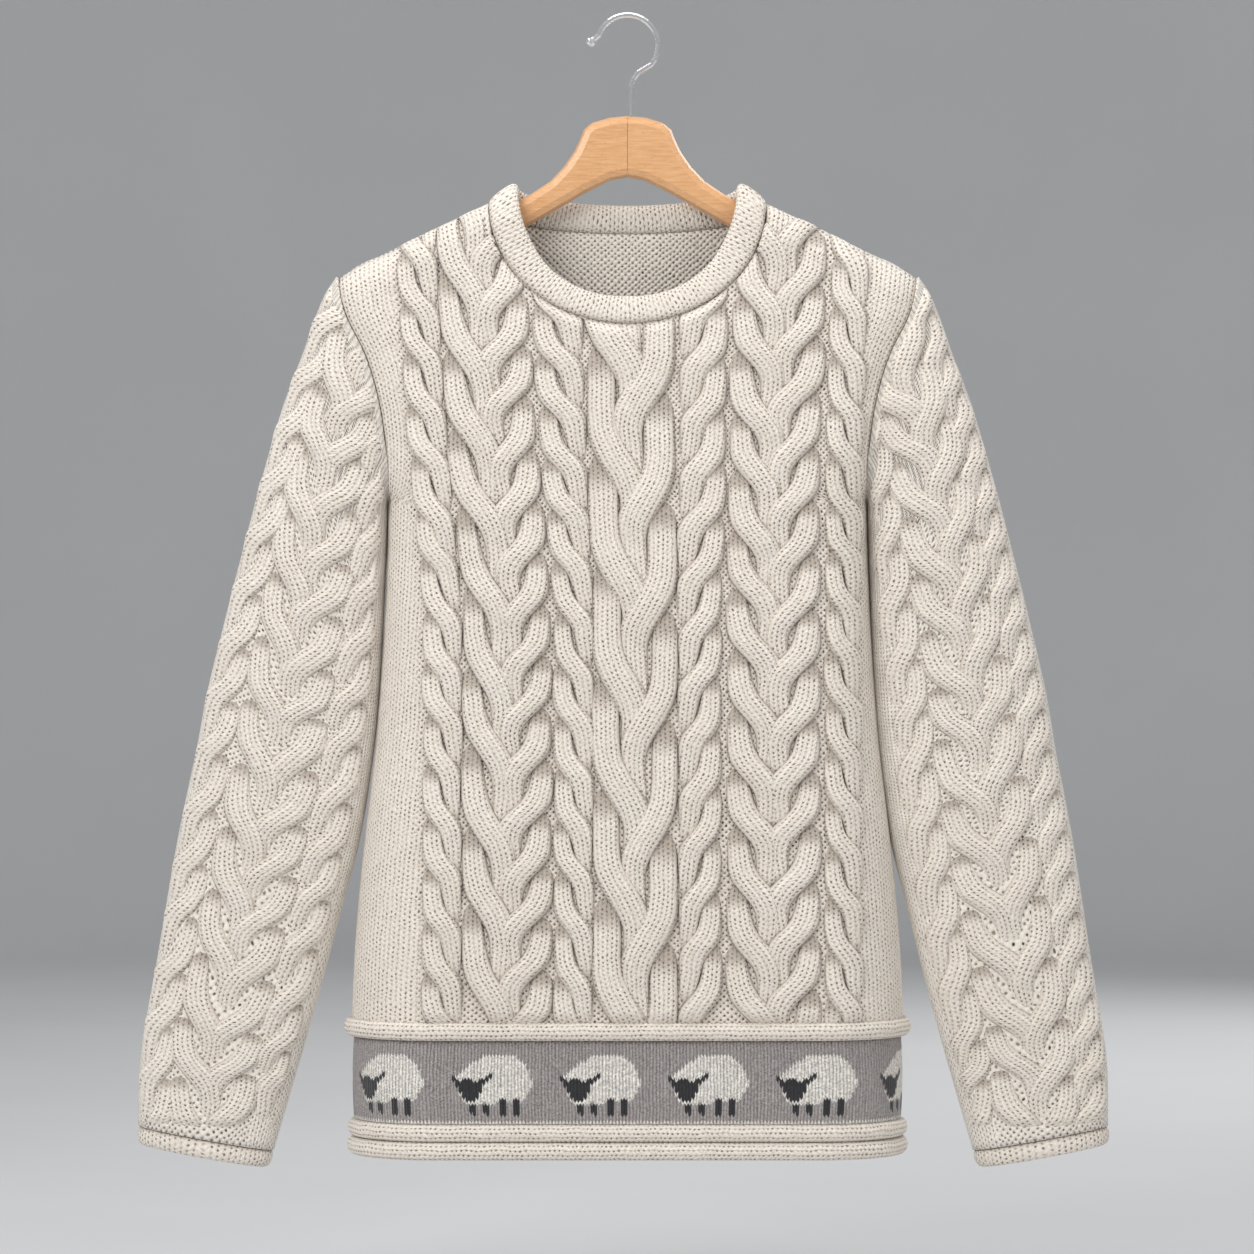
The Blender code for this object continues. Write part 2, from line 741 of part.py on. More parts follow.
def knit_sleeve(name, side_sign, finish):
    """A cabled tube from the armhole to the cuff, open at both ends."""
    rings = []
    places = [0.0, CROTCH_HOLD / 2] + [row / SLEEVE_ROWS for row in range(1, SLEEVE_ROWS + 1)]
    for row, place in enumerate(places):
        calm = min(place / SLEEVE_CALM_TOP, (1 - place) / SLEEVE_CALM_END, 1.0)
        ring = []
        for degrees, height, drop in SLEEVE_COLUMNS:
            angle = math.radians(degrees)
            at = min(place + calm * drop * MM / SLEEVE_LENGTH, 1.0)
            crest = 1.0 if row % 2 else CREST_DIP
            rise = height * MM * crest * min(4 * min(place, 1 - place), 1.0)
            point = sewn_sleeve_point(angle, at) + sleeve_normal(angle, at) * rise
            ring.append(place_of_side(point, side_sign))
        rings.append(ring)
    lining = [row / SLEEVE_LINING_ROWS for row in range(SLEEVE_LINING_ROWS, 0, -1)]
    for place in lining + [FIRST_LINING_ROW, 1 / SLEEVE_ROWS, CROTCH_HOLD / 2, 0.0]:
        ring = []
        for degrees, *_ in SLEEVE_COLUMNS:
            angle = math.radians(degrees)
            point = sewn_sleeve_point(angle, place) - sleeve_normal(angle, place) * CLOTH
            ring.append(place_of_side(point, side_sign))
        rings.append(ring)
    return add_object(name, *ring_mesh(rings), finish)


def rolled_cuff(name, side_sign, finish):
    """A thick roll round the sleeve's end."""
    rings = []
    for station in range(CUFF_STATIONS):
        angle = 2 * math.pi * station / CUFF_STATIONS
        edge = sewn_sleeve_point(angle, 1.0)
        normal = sleeve_normal(angle, 1.0)
        down = (edge - sewn_sleeve_point(angle, CUFF_FALL_FROM)).normalized()
        half = (CUFF_PROUD + CLOTH + CUFF_INWARDS) / 2
        middle = edge + down * (SEAM_GAP + CUFF_HEIGHT / 2) + normal * (CUFF_PROUD - half)
        ring = []
        for corner in range(CUFF_CORNERS):
            turn = 2 * math.pi * corner / CUFF_CORNERS
            out = normal * half * math.cos(turn)
            fall = down * CUFF_HEIGHT / 2 * math.sin(turn)
            ring.append(place_of_side(middle + out + fall, side_sign))
        rings.append(ring)
    return add_object(name, *ring_mesh(rings), finish)


FOLD_TABLE = np.array(NECKBAND_FOLD)


def neckband_edges(degrees):
    """Sewn edge and folded edge of the neckband at a turn from the front's middle."""
    turned = degrees % 360
    mirror = -1 if turned > 180 else 1
    turned = 360 - turned if turned > 180 else turned
    keys = FOLD_TABLE[:, 0]
    fold_share = smooth_curve(keys, FOLD_TABLE[:, 1], turned)
    rise = smooth_curve(keys, FOLD_TABLE[:, 2], turned)
    side = -1 if turned < 90 else 1
    x, z = neckline_point(abs(math.radians(turned) - math.pi / 2), side)
    if side < 0:
        x, z = neckline_point(math.pi / 2 - math.radians(turned), side)
    x = abs(x)
    depth = body_point(share_at(x, z), z, side).y
    lean = NECKBAND_LEAN * math.cos(math.radians(turned))
    sewn = Vector((mirror * x, depth, z))
    fold = Vector((mirror * NECK_HALF_WIDTH * fold_share, depth + lean, z + rise))
    return sewn, fold


def neckband(name, finish):
    """A ribbed band folded double, standing in the neck opening."""
    fine_turn = 360 / NECKBAND_FINE_STEPS
    fine = [neckband_edges(fine_turn * i) for i in range(NECKBAND_FINE_STEPS)]
    middles = [(a + b) / 2 for a, b in fine]
    lengths = [0.0]
    for first, second in zip(middles, middles[1:] + middles[:1]):
        lengths.append(lengths[-1] + (second - first).length)
    stations = 2 * NECKBAND_RIBS
    rings = []
    for station in range(stations):
        reach = lengths[-1] * station / stations
        degrees = fine_turn * float(np.interp(reach, lengths, range(len(lengths))))
        sewn, fold = neckband_edges(degrees)
        step = 3
        before, after = neckband_edges(degrees - step), neckband_edges(degrees + step)
        along = (after[0] + after[1] - before[0] - before[1]).normalized()
        rise = (fold - sewn).normalized()
        out = rise.cross(along).normalized()
        rise = along.cross(out).normalized()
        half = (fold - sewn).length / 2
        base = sewn + rise * NECKBAND_SEAM
        rib = RIB_HEIGHT if station % 2 else -RIB_HEIGHT
        thick = NECKBAND_HALF_THICKNESS + rib
        ring = []
        for up, outward in NECKBAND_SECTION:
            ring.append(base + rise * half * up + out * thick * outward)
        rings.append(ring)
    return add_object(name, *ring_mesh(rings), finish)


def hem_point(turn, proud):
    """Point of the hem's section at an angle round it."""
    width, depth = BAND_HALF_WIDTH + proud, BAND_HALF_DEPTH + proud
    across = CORNER_STRETCH * depth
    flat = width - across
    corner = math.sqrt((across * across + depth * depth) / 2) * math.pi / 2
    share = turn % 4.0
    quarter = int(share)
    part = share - quarter
    run = (1 - part if quarter % 2 == 0 else part) * (flat + corner)
    x, y = run, depth
    if run > flat:
        angle = (run - flat) / corner * math.pi / 2
        x = flat + across * math.sin(angle)
        y = depth * math.cos(angle)
    x *= 1 if quarter in (0, 3) else -1
    y *= 1 if quarter < 2 else -1
    return x, y


def hem_tube(name, outer, inner, finish):
    """A closed tube round the hem between outer and inner rows of (height, proud)."""
    rings = []
    for station in range(HEM_STATIONS):
        turn = 4.0 * station / HEM_STATIONS
        ring = []
        for z, proud in list(outer) + list(inner):
            x, y = hem_point(turn, proud)
            ring.append(Vector((x, y, z)))
        rings.append(ring)
    return add_object(name, *ring_mesh(rings), finish)


def sheep_band(finish):
    top, bottom = HEM_TOP, HEM_TOP - BAND_HEIGHT
    steps = len(BAND_SWELL) - 1
    heights = [top + (bottom - top) * i / steps for i in range(steps + 1)]
    outer = list(zip(heights, BAND_SWELL))
    inner = [(bottom, -CLOTH), (top, -CLOTH)]
    return hem_tube("sheep_band", outer, inner, finish)


def hem_border(finish):
    top = HEM_TOP - BAND_HEIGHT - SEAM_GAP
    outer = [(top - fall, proud) for fall, proud in BORDER_PROFILE]
    inner = [(top - BORDER_PROFILE[-1][0], -CLOTH), (top, -CLOTH)]
    return hem_tube("hem_border", outer, inner, finish)


def hanger_half(name, side_sign, finish):
    """One beech half, cut square at the mitre, with eased edges."""
    top = [(x, shoulder_height(x) - ARM_BELOW_SHOULDER) for x in ARM_STATIONS]
    outline = list(HANGER_TOP_EDGE) + top + list(HANGER_LOWER_EDGE)
    shape = bmesh.new()
    corners = []
    for x, z in outline:
        place = side_sign * (x + MITRE_GAP)
        corners.append(shape.verts.new((place, -WOOD_HALF_THICKNESS, z)))
    face = shape.faces.new(corners)
    pulled = bmesh.ops.extrude_face_region(shape, geom=[face])["geom"]
    moved = [item for item in pulled if isinstance(item, bmesh.types.BMVert)]
    bmesh.ops.translate(shape, verts=moved, vec=(0, 2 * WOOD_HALF_THICKNESS, 0))
    bmesh.ops.recalc_face_normals(shape, faces=shape.faces)
    long_edges = []
    for edge in shape.edges:
        first, second = (vert.co for vert in edge.verts)
        at_mitre = abs(first.x) < 2 * MITRE_GAP and abs(second.x) < 2 * MITRE_GAP
        if abs(first.y - second.y) < MM and not at_mitre:
            long_edges.append(edge)
    bmesh.ops.bevel(shape, geom=long_edges, offset=WOOD_BEVEL, segments=2, profile=0.5,
                    affect="EDGES", material=-1, clamp_overlap=True)
    points = [vert.co.copy() for vert in shape.verts]
    shape.verts.index_update()
    faces = [tuple(vert.index for vert in face.verts) for face in shape.faces]
    shape.free()
    return add_object(name, points, faces, finish, 40)


def hook_path():
    """Centre line of the wire and its radius, from the ball tip to the wood."""
    top = WIRE_RADIUS
    centre = Vector((0.0, 0.0, top - HOOK_RADIUS))
    path = [(Vector((BALL_END[0], 0, BALL_END[1])), BALL_END_RADIUS)]
    ball = Vector((BALL_MIDDLE[0], 0, BALL_MIDDLE[1]))
    lead = Vector((BALL_LEAD[0], 0, BALL_LEAD[1])).normalized()
    for i in range(1, BALL_STEPS):
        along = BALL_RADIUS * (-1 + 2 * i / BALL_STEPS)
        radius = max(math.sqrt(BALL_RADIUS ** 2 - along ** 2), WIRE_RADIUS)
        path.append((ball + lead * along, radius))
    path.append((ball + lead * WIRE_START, WIRE_RADIUS))
    for degrees in range(*HOOK_DEGREES):
        angle = math.radians(degrees)
        spot = centre + Vector((math.cos(angle), 0, math.sin(angle))) * HOOK_RADIUS
        path.append((spot, WIRE_RADIUS))
    wood_top = HANGER_TOP_EDGE[0][1] + SEAM_GAP
    for x, z in (*HOOK_STEM, (STEM_OFFSET, wood_top)):
        path.append((Vector((x, 0, z)), WIRE_RADIUS))
    return path


def wire_hook(name, finish):
    path = hook_path()
    vertices, faces = [], []
    for i, (spot, radius) in enumerate(path):
        before = path[max(i - 1, 0)][0]
        after = path[min(i + 1, len(path) - 1)][0]
        along = (after - before).normalized()
        side = Vector((0, 1, 0)).cross(along).normalized()
        if i == len(path) - 1:
            side = Vector((1, 0, 0)) * math.copysign(1, side.x)
        for corner in range(WIRE_SIDES):
            turn = 2 * math.pi * (corner + 0.5) / WIRE_SIDES
            reach = radius / math.cos(math.pi / WIRE_SIDES)
            out = side * math.cos(turn) + Vector((0, math.sin(turn), 0))
            vertices.append(spot + out * reach)
    for ring in range(len(path) - 1):
        for i in range(WIRE_SIDES):
            j = (i + 1) % WIRE_SIDES
            low, high = ring * WIRE_SIDES, (ring + 1) * WIRE_SIDES
            faces.append((low + i, low + j, high + j, high + i))
    last = (len(path) - 1) * WIRE_SIDES
    faces.append(tuple(range(WIRE_SIDES)))
    faces.append(tuple(last + i for i in range(WIRE_SIDES)))
    return add_object(name, vertices, faces, finish, 60)


def main():
    clear_scene()
    cream = material("cream_wool_knit", KNIT_CREAM, 0.95)
    grey = material("grey_melange_knit", MELANGE_GREY, 0.95)
    wood = material("beech", BEECH, 0.5)
    chrome = material("chromed_wire", CHROME, 0.12, 1.0)
    knit_panel("front_panel", -1, cream)
    knit_panel("back_panel", 1, cream)
    for name, side_sign in (("left", -1), ("right", 1)):
        knit_sleeve(name + "_sleeve", side_sign, cream)
        rolled_cuff(name + "_cuff", side_sign, cream)
        hanger_half("hanger_" + name, side_sign, wood)
    neckband("neckband", cream)
    sheep_band(grey)
    hem_border(cream)
    wire_hook("hook", chrome)


main()
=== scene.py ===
"""Looks of the cable-knit sweater on its wooden hanger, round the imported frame.

Metres, +Z up, front towards -Y. Every knitted piece is a thin cloth on the form of its
CAD solid, with its cables laid on it as separate soft strands, one from each crossing
to the next. Stitches are counted in UV: wales across, rows along.
"""
import math

import bmesh
import bpy
import numpy as np
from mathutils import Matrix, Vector
from mathutils.bvhtree import BVHTree


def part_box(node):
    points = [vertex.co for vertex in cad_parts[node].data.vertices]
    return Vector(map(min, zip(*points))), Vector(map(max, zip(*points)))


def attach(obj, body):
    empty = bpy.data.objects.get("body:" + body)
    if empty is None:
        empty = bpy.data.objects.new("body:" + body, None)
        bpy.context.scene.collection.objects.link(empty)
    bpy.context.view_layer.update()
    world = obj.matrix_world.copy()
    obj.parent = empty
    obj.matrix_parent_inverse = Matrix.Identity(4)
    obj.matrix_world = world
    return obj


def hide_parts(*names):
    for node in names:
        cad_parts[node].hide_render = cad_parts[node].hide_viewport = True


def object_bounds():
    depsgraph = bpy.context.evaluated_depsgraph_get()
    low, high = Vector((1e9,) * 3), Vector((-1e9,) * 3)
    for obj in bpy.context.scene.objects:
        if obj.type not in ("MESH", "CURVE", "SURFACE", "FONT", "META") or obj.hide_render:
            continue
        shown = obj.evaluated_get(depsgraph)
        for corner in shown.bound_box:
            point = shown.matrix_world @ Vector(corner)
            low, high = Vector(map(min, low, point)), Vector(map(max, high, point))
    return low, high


MM = 0.001
LEFT, RIGHT = -1, 1
FRONT, BACK = -1, 1

# The photograph: its frame in pixels, the real size of one, and where x = 0 and z = 0 lie
PHOTO_PIXELS = 1254
PIXEL = 0.72 * MM
PHOTO_MIDDLE = 627.5
PHOTO_TOP = 12.3

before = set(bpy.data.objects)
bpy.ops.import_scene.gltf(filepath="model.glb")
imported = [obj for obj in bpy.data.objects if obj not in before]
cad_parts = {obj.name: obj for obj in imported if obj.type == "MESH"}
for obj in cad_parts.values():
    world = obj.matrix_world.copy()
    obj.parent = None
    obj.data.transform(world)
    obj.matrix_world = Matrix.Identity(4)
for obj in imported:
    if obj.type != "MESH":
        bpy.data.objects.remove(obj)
cad_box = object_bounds()

HEM_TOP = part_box("sheep_band")[1].z
BAND_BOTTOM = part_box("sheep_band")[0].z
UNDERARM = -0.351
SHOULDER_TIP = (0.2095, -0.1896)
CORNER_STRETCH = 1.15
CORNER_LIMIT = 0.45
SHOULDER_ROUND = 0.024
ARMHOLE_TURN = 0.70
ARMHOLE_SCOOP = 0.055
CLOTH = 2.4 * MM
WELD = 0.01 * MM

# Body sections: height, half width, half depth
BODY_SECTIONS = np.array((
    (-0.740, 0.2010, 0.0560),
    (-0.671, 0.1976, 0.0545),
    (-0.627, 0.1940, 0.0530),
    (-0.571, 0.1880, 0.0505),
    (-0.524, 0.1825, 0.0480),
    (-0.488, 0.1797, 0.0460),
    (-0.433, 0.1764, 0.0430),
    (-0.377, 0.1743, 0.0390),
    (-0.340, 0.1740, 0.0360),
    (-0.285, 0.1785, 0.0320),
    (-0.245, 0.1900, 0.0290),
    (-0.215, 0.2045, 0.0260),
    (-0.190, 0.2095, 0.0230),
    (-0.125, 0.2110, 0.0170),
))

# Shoulder line: distance from the middle, height
SHOULDER_LINE = np.array((
    (0.0950, -0.1330),
    (0.1033, -0.1366),
    (0.1487, -0.1575),
    (0.1804, -0.1733),
    (0.1926, -0.1785),
    (0.2095, -0.1896),
))
NECK_LEVEL = -0.1378
NECK_HALF_WIDTH = 0.1000
NECK_DROP = {FRONT: 0.0860, BACK: 0.0180}

# Soft creases on the body: place across, height, half width, half height, depth in mm
BODY_CREASES = (
    (-0.72, -0.400, 0.20, 0.020, 2.2),
    (0.72, -0.395, 0.20, 0.020, 2.0),
    (-0.55, -0.250, 0.10, 0.060, 1.6),
    (0.57, -0.255, 0.10, 0.060, 1.6),
    (-0.30, -0.560, 0.10, 0.110, 1.8),
    (0.38, -0.600, 0.12, 0.100, 1.8),
)

# Sleeve rings: outer edge, inner edge (distance from the middle, height), half depth
SLEEVE_RINGS = np.array((
    (0.2095, -0.1896, 0.1762, -0.3500, 0.0235),
    (0.2175, -0.2020, 0.1762, -0.3580, 0.0235),
    (0.2245, -0.2185, 0.1766, -0.3730, 0.0240),
    (0.2330, -0.2430, 0.1772, -0.3920, 0.0245),
    (0.2416, -0.2655, 0.1780, -0.4080, 0.0250),
    (0.2502, -0.2900, 0.1788, -0.4250, 0.0255),
    (0.2650, -0.3415, 0.1800, -0.4520, 0.0260),
    (0.2790, -0.3945, 0.1822, -0.4880, 0.0260),
    (0.2920, -0.4455, 0.1850, -0.5205, 0.0258),
    (0.3031, -0.4908, 0.1888, -0.5490, 0.0255),
    (0.3107, -0.5318, 0.1932, -0.5780, 0.0250),
    (0.3182, -0.5664, 0.1990, -0.6070, 0.0246),
    (0.3269, -0.6103, 0.2090, -0.6430, 0.0240),
    (0.3388, -0.6808, 0.2261, -0.7075, 0.0228),
    (0.3510, -0.7514, 0.2440, -0.7700, 0.0212),
    (0.3528, -0.8042, 0.2590, -0.8213, 0.0198),
))
SLEEVE_ROUNDNESS = 2.3
SLEEVE_HOLD = 0.16
CROTCH_HOLD = 0.024
CROTCH_LIFT = 0.0022
SLEEVE_LENGTH = 0.640
# The right sleeve hangs this much further in, from which height, over which fall
RIGHT_SWAY = 0.006
SWAY_START = -0.35
SWAY_FALL = 0.45
CUFF_HEIGHT = 0.0132
CUFF_PROUD = 0.0030
CUFF_INWARDS = 0.0020
CUFF_FALL_FROM = 0.98
CUFF_STATIONS = 120
CUFF_CORNERS = 18
CUFF_STITCHES = (66, 10)

# Folded edge of the neckband: turn in degrees from the front, share of the neck's
# half width, height over the sewn edge
NECKBAND_FOLD = np.array((
    (0, 0.000, 0.0200),
    (30, 0.397, 0.0170),
    (60, 0.665, 0.0115),
    (78, 0.768, 0.0115),
    (90, 0.800, 0.0156),
    (104, 0.800, 0.0190),
    (122, 0.725, 0.0200),
    (150, 0.440, 0.0205),
    (180, 0.000, 0.0205),
))
NECKBAND_HALF_THICKNESS = 0.0044
NECKBAND_LEAN = 0.0050
NECKBAND_FULLNESS = 1.12
SEAM = 0.3 * MM

BAND_HALF_WIDTH = 0.1985
BAND_HALF_DEPTH = 0.0540

# Gauge of the knits: width of a leg or wale, and height of a row
CREAM_WALE = 3.4 * MM
CREAM_ROW = 3.4 * MM
GREY_WALE = 2.4 * MM
GREY_ROWS = 29

# Cables of a panel: centre at the shoulders, under the arms and below, half width (all
# in mm), repeat in mm, height of one crossing in mm, lean (1 falls to the right), and
# the strand's form
BODY_CABLES = (
    (-152.0, -144.7, -132.8, 13.6, 37.0, -477, 1, "rope"),
    (-121.7, -114.1, -102.1, 16.2, 57.0, -487, 1, "vee"),
    (-91.4, -82.4, -70.7, 16.2, 37.4, -474, -1, "vee"),
    (-52.0, -47.5, -38.9, 14.0, 37.0, -479, 1, "rope"),
    (-14.0, -12.7, -9.4, 15.6, 79.0, -496, 1, "deep"),
    (16.0, 17.1, 20.2, 15.6, 79.0, -528, -1, "deep"),
    (55.5, 54.4, 52.2, 15.0, 38.5, -488, -1, "rope"),
    (94.7, 90.0, 87.9, 17.0, 42.5, -470, 1, "vee"),
    (127.4, 122.5, 120.9, 17.0, 39.0, -479, -1, "vee"),
    (160.0, 156.0, 154.1, 12.8, 35.5, -469, 1, "rope"),
)
CABLE_LEVELS = (-0.190, -0.300, -0.430)

# Cables of a sleeve: distance of the centre from its outer edge at four levels, half
# width, repeat and place of one crossing down the edge (all in mm), lean (1 falls inwards)
LEFT_SLEEVE_CABLES = (
    (10.0, 12.0, 13.0, 12.0, 14.0, 40.0, 243, -1, "rope"),
    (29.0, 39.0, 43.0, 37.5, 16.5, 47.0, 226, 1, "vee"),
    (54.0, 69.0, 73.5, 67.5, 18.0, 39.0, 206, -1, "vee"),
    (77.0, 98.0, 104.0, 97.0, 14.0, 38.0, 225, -1, "rope"),
)
RIGHT_SLEEVE_CABLES = (
    (10.0, 12.0, 13.0, 12.0, 13.0, 30.0, 240, 1, "rope"),
    (28.0, 35.0, 41.0, 37.0, 16.5, 45.0, 241, 1, "vee"),
    (53.0, 64.5, 72.0, 67.0, 18.0, 42.0, 215, -1, "vee"),
    (77.0, 93.0, 101.0, 96.0, 14.0, 41.0, 232, 1, "rope"),
)
SLEEVE_LEVELS = (-0.2935, -0.4400, -0.6125, -0.7110)

# One strand from under the crossing it comes out of (below 0) to where it dives: place
# in repeats, centre and half width in cable half widths, height and crown in mm. A
# rope's strands stay on it. Those of a vee's half sweep past the middle of the vee.
ROPE_STRAND = np.array((
    (-0.36, -0.36, 0.30, -1.6, 1.2),
    (-0.24, -0.47, 0.40, -0.9, 2.2),
    (-0.10, -0.53, 0.46, -0.2, 2.9),
    (0.08, -0.54, 0.49, 0.3, 3.4),
    (0.28, -0.51, 0.53, 0.7, 3.7),
    (0.45, -0.43, 0.58, 1.0, 4.0),
    (0.60, -0.27, 0.68, 1.5, 4.2),
    (0.73, -0.03, 0.75, 1.9, 4.2),
    (0.86, 0.22, 0.74, 2.0, 4.2),
    (1.00, 0.42, 0.65, 1.6, 4.1),
    (1.16, 0.52, 0.56, 1.0, 3.9),
    (1.35, 0.57, 0.49, 0.5, 3.5),
    (1.57, 0.64, 0.40, -0.3, 2.9),
    (1.76, 0.69, 0.30, -1.0, 2.0),
    (1.90, 0.72, 0.16, -1.6, 1.2),
))
VEE_STRAND = np.array((
    (-0.34, -0.40, 0.30, -1.6, 1.2),
    (-0.22, -0.50, 0.42, -0.9, 2.2),
    (-0.08, -0.55, 0.48, -0.2, 2.9),
    (0.08, -0.53, 0.51, 0.3, 3.4),
    (0.24, -0.48, 0.55, 0.7, 3.7),
    (0.42, -0.38, 0.63, 1.0, 4.0),
    (0.58, -0.19, 0.71, 1.5, 4.2),
    (0.72, 0.10, 0.76, 1.9, 4.2),
    (0.86, 0.40, 0.75, 1.9, 4.2),
    (1.00, 0.64, 0.67, 1.5, 4.1),
    (1.14, 0.77, 0.58, 0.9, 3.8),
    (1.30, 0.80, 0.53, 0.1, 3.3),
    (1.48, 0.75, 0.48, -0.5, 2.9),
    (1.66, 0.70, 0.38, -1.0, 2.3),
    (1.82, 0.66, 0.20, -1.6, 1.2),
))
DEEP_VEE_STRAND = np.array((
    (-0.26, -0.34, 0.40, -1.6, 1.2),
    (-0.16, -0.37, 0.54, -0.9, 2.2),
    (-0.05, -0.38, 0.62, -0.2, 3.0),
    (0.12, -0.37, 0.65, 0.3, 3.6),
    (0.36, -0.36, 0.66, 0.8, 4.0),
    (0.52, -0.28, 0.71, 1.3, 4.2),
    (0.65, -0.04, 0.80, 1.8, 4.3),
    (0.77, 0.28, 0.86, 2.0, 4.3),
    (0.89, 0.62, 0.84, 1.8, 4.2),
    (1.00, 0.86, 0.74, 1.3, 4.0),
    (1.11, 0.96, 0.62, 0.5, 3.6),
    (1.26, 0.92, 0.56, -0.2, 3.2),
    (1.45, 0.84, 0.52, -0.6, 2.9),
    (1.66, 0.76, 0.42, -1.0, 2.4),
    (1.84, 0.70, 0.20, -1.6, 1.2),
))
STRAND_FORMS = {"rope": ROPE_STRAND, "vee": VEE_STRAND, "deep": DEEP_VEE_STRAND}
# Chance in a strand's start, side and width, and how fast the first two swing along it
STRAND_STRAY = (0.06, 0.06, 0.06)
START_SWING = 1.6
SIDE_SWING = 2.5
# Half width at which a strand has the heights of the tables, and its most
STRAND_SCALE = 14.0 * MM
STRAND_SCALE_LIMIT = 1.1
STRAND_ROW = 2.3 * MM
STRAND_CORNERS = 16
STRAND_TOP_CORNERS = 13
STRAND_ROUNDNESS = 2.8
STRAND_UNDERSIDE = -0.35
# A strand is pressed flat near a seam: from how far off, to what share of its height,
# and how deep its end is sewn in
SEAM_SETTLE = 6.0 * MM
SEAM_HEIGHT = 0.25
SEAM_SINK = 0.5 * MM

# Chart of the sheep: w is cream, k is black, and . is the grey ground
SHEEP_CHART = (
    ".........wwwwwwwwww.....",
    "........wwwwwwwwwwww....",
    "......wwwwwwwwwwwwwww...",
    ".....wwwwwwwwwwwwwwwww..",
    "....wwwwwwwwwwwwwwwwww..",
    "...wwwwwwwwwwwwwwwwwwww.",
    "..wwwwwwwwwkwwwwwwwwwww.",
    "kwwwwwwwwwkkwwwwwwwwwww.",
    "kkwkkkwwkkkwwwwwwwwwwwww",
    ".kkkkkkkkkwwwwwwwwwwwwww",
    ".kkkkkkkkwwwwwwwwwwwwwww",
    "..kkkkkkkwwwwwwwwwwwwww.",
    "..kkkkkkkwwwwwwwwwwwwww.",
    "..wkkkkkwwwwwwwwwwwwww..",
    "...kkkkkwwwwwwwwwwwwww..",
    "...wkkkwwwwwwwkkwwkkw...",
    "....wwwww.www.kk..kk....",
    ".....kk..kk...kk..kk....",
    ".....kk..kk...kk..kk....",
    ".....kk..kk...kk..kk....",
    "......k...k...kk..kk....",
)
SHEEP_REPEAT = 32
SHEEP_TOP_ROW = 5
SHEEP_MIDDLE = -0.0186
BAND_SWELL = 0.0011


# Curves and surfaces


def smooth_curve(keys, values, at):
    """Values at places on a smooth curve through table rows with rising keys."""
    at = np.clip(at, keys[0], keys[-1])
    slopes = np.gradient(values, keys)
    row = np.clip(np.searchsorted(keys, at, side="right") - 1, 0, len(keys) - 2)
    span = keys[row + 1] - keys[row]
    t = (at - keys[row]) / span
    start = values[row] * (1 + 2 * t) * (1 - t) ** 2
    end = values[row + 1] * t * t * (3 - 2 * t)
    bend = span * (slopes[row] * t * (1 - t) ** 2 - slopes[row + 1] * t * t * (1 - t))
    return start + end + bend


def smooth_step(share):
    share = np.clip(share, 0.0, 1.0)
    return share * share * (3 - 2 * share)


def body_section(z):
    """Half width, half depth and how far the panel's edge has turned, at a height."""
    width = smooth_curve(BODY_SECTIONS[:, 0], BODY_SECTIONS[:, 1], z)
    depth = smooth_curve(BODY_SECTIONS[:, 0], BODY_SECTIONS[:, 2], z)
    scoop = 1 - np.clip((z - UNDERARM) / ARMHOLE_SCOOP, 0.0, 1.0)
    turn = np.arccos(ARMHOLE_TURN * np.sqrt(1 - scoop * scoop))
    return width, depth, turn


def corner_of(width, depth, turn):
    """Flat half length, corner radius across, and the corner's length to the edge."""
    across = np.minimum(CORNER_STRETCH * depth, CORNER_LIMIT * width)
    flat = width - across * np.sin(turn)
    length = np.sqrt((across * across + depth * depth) / 2) * turn
    return flat, across, length


def shoulder_height(x):
    return smooth_curve(SHOULDER_LINE[:, 0], SHOULDER_LINE[:, 1], np.abs(x))


def panel_top(x, side):
    """Height of the panel's upper edge: the neckline's ellipse or the shoulder line."""
    inside = np.clip(np.abs(x) / NECK_HALF_WIDTH, 0.0, 1.0)
    neckline = NECK_LEVEL - NECK_DROP[side] * np.sqrt(1 - inside * inside)
    return np.where(np.abs(x) < NECK_HALF_WIDTH, neckline, shoulder_height(x))


def crease_depth(x, z):
    width = smooth_curve(BODY_SECTIONS[:, 0], BODY_SECTIONS[:, 1], z)
    total = np.zeros_like(x)
    for place, height, half_width, half_height, depth in BODY_CREASES:
        off = ((x / width - place) / half_width) ** 2 + ((z - height) / half_height) ** 2
        total += depth * MM * np.exp(-off)
    return total


def body_surface(x, z, side):
    """Plain cloth of the body at a distance from the middle and a height."""
    width, depth, turn = body_section(z)
    flat, across, _ = corner_of(width, depth, turn)
    past = np.clip((np.abs(x) - flat) / across, 0.0, 1.0)
    y = depth * np.sqrt(1 - past * past)
    below = np.clip((shoulder_height(x) - z) / SHOULDER_ROUND, 0.0, 1.0)
    y = y * np.sqrt(1 - (1 - below) ** 2) - crease_depth(x, z) * (1 - past)
    return np.stack((x, side * np.maximum(y, 0.0), z), axis=-1)


def panel_surface(share, z, side):
    """The same by the share of the way round to the panel's edge."""
    width, depth, turn = body_section(z)
    flat, across, length = corner_of(width, depth, turn)
    run = np.abs(share) * (flat + length)
    angle = np.clip((run - flat) / length, 0.0, 1.0) * turn
    x = np.where(run > flat, flat + across * np.sin(angle), run)
    return body_surface(np.copysign(x, share), z, side)


def armhole_height(angle):
    """Height on the armhole's edge, from the shoulder tip (0) to the underarm (pi)."""
    top, bottom = SHOULDER_TIP[1], UNDERARM
    return (top + bottom) / 2 + (top - bottom) / 2 * np.cos(angle)


def bowed(value):
    return np.copysign(np.abs(value) ** (2 / SLEEVE_ROUNDNESS), value)


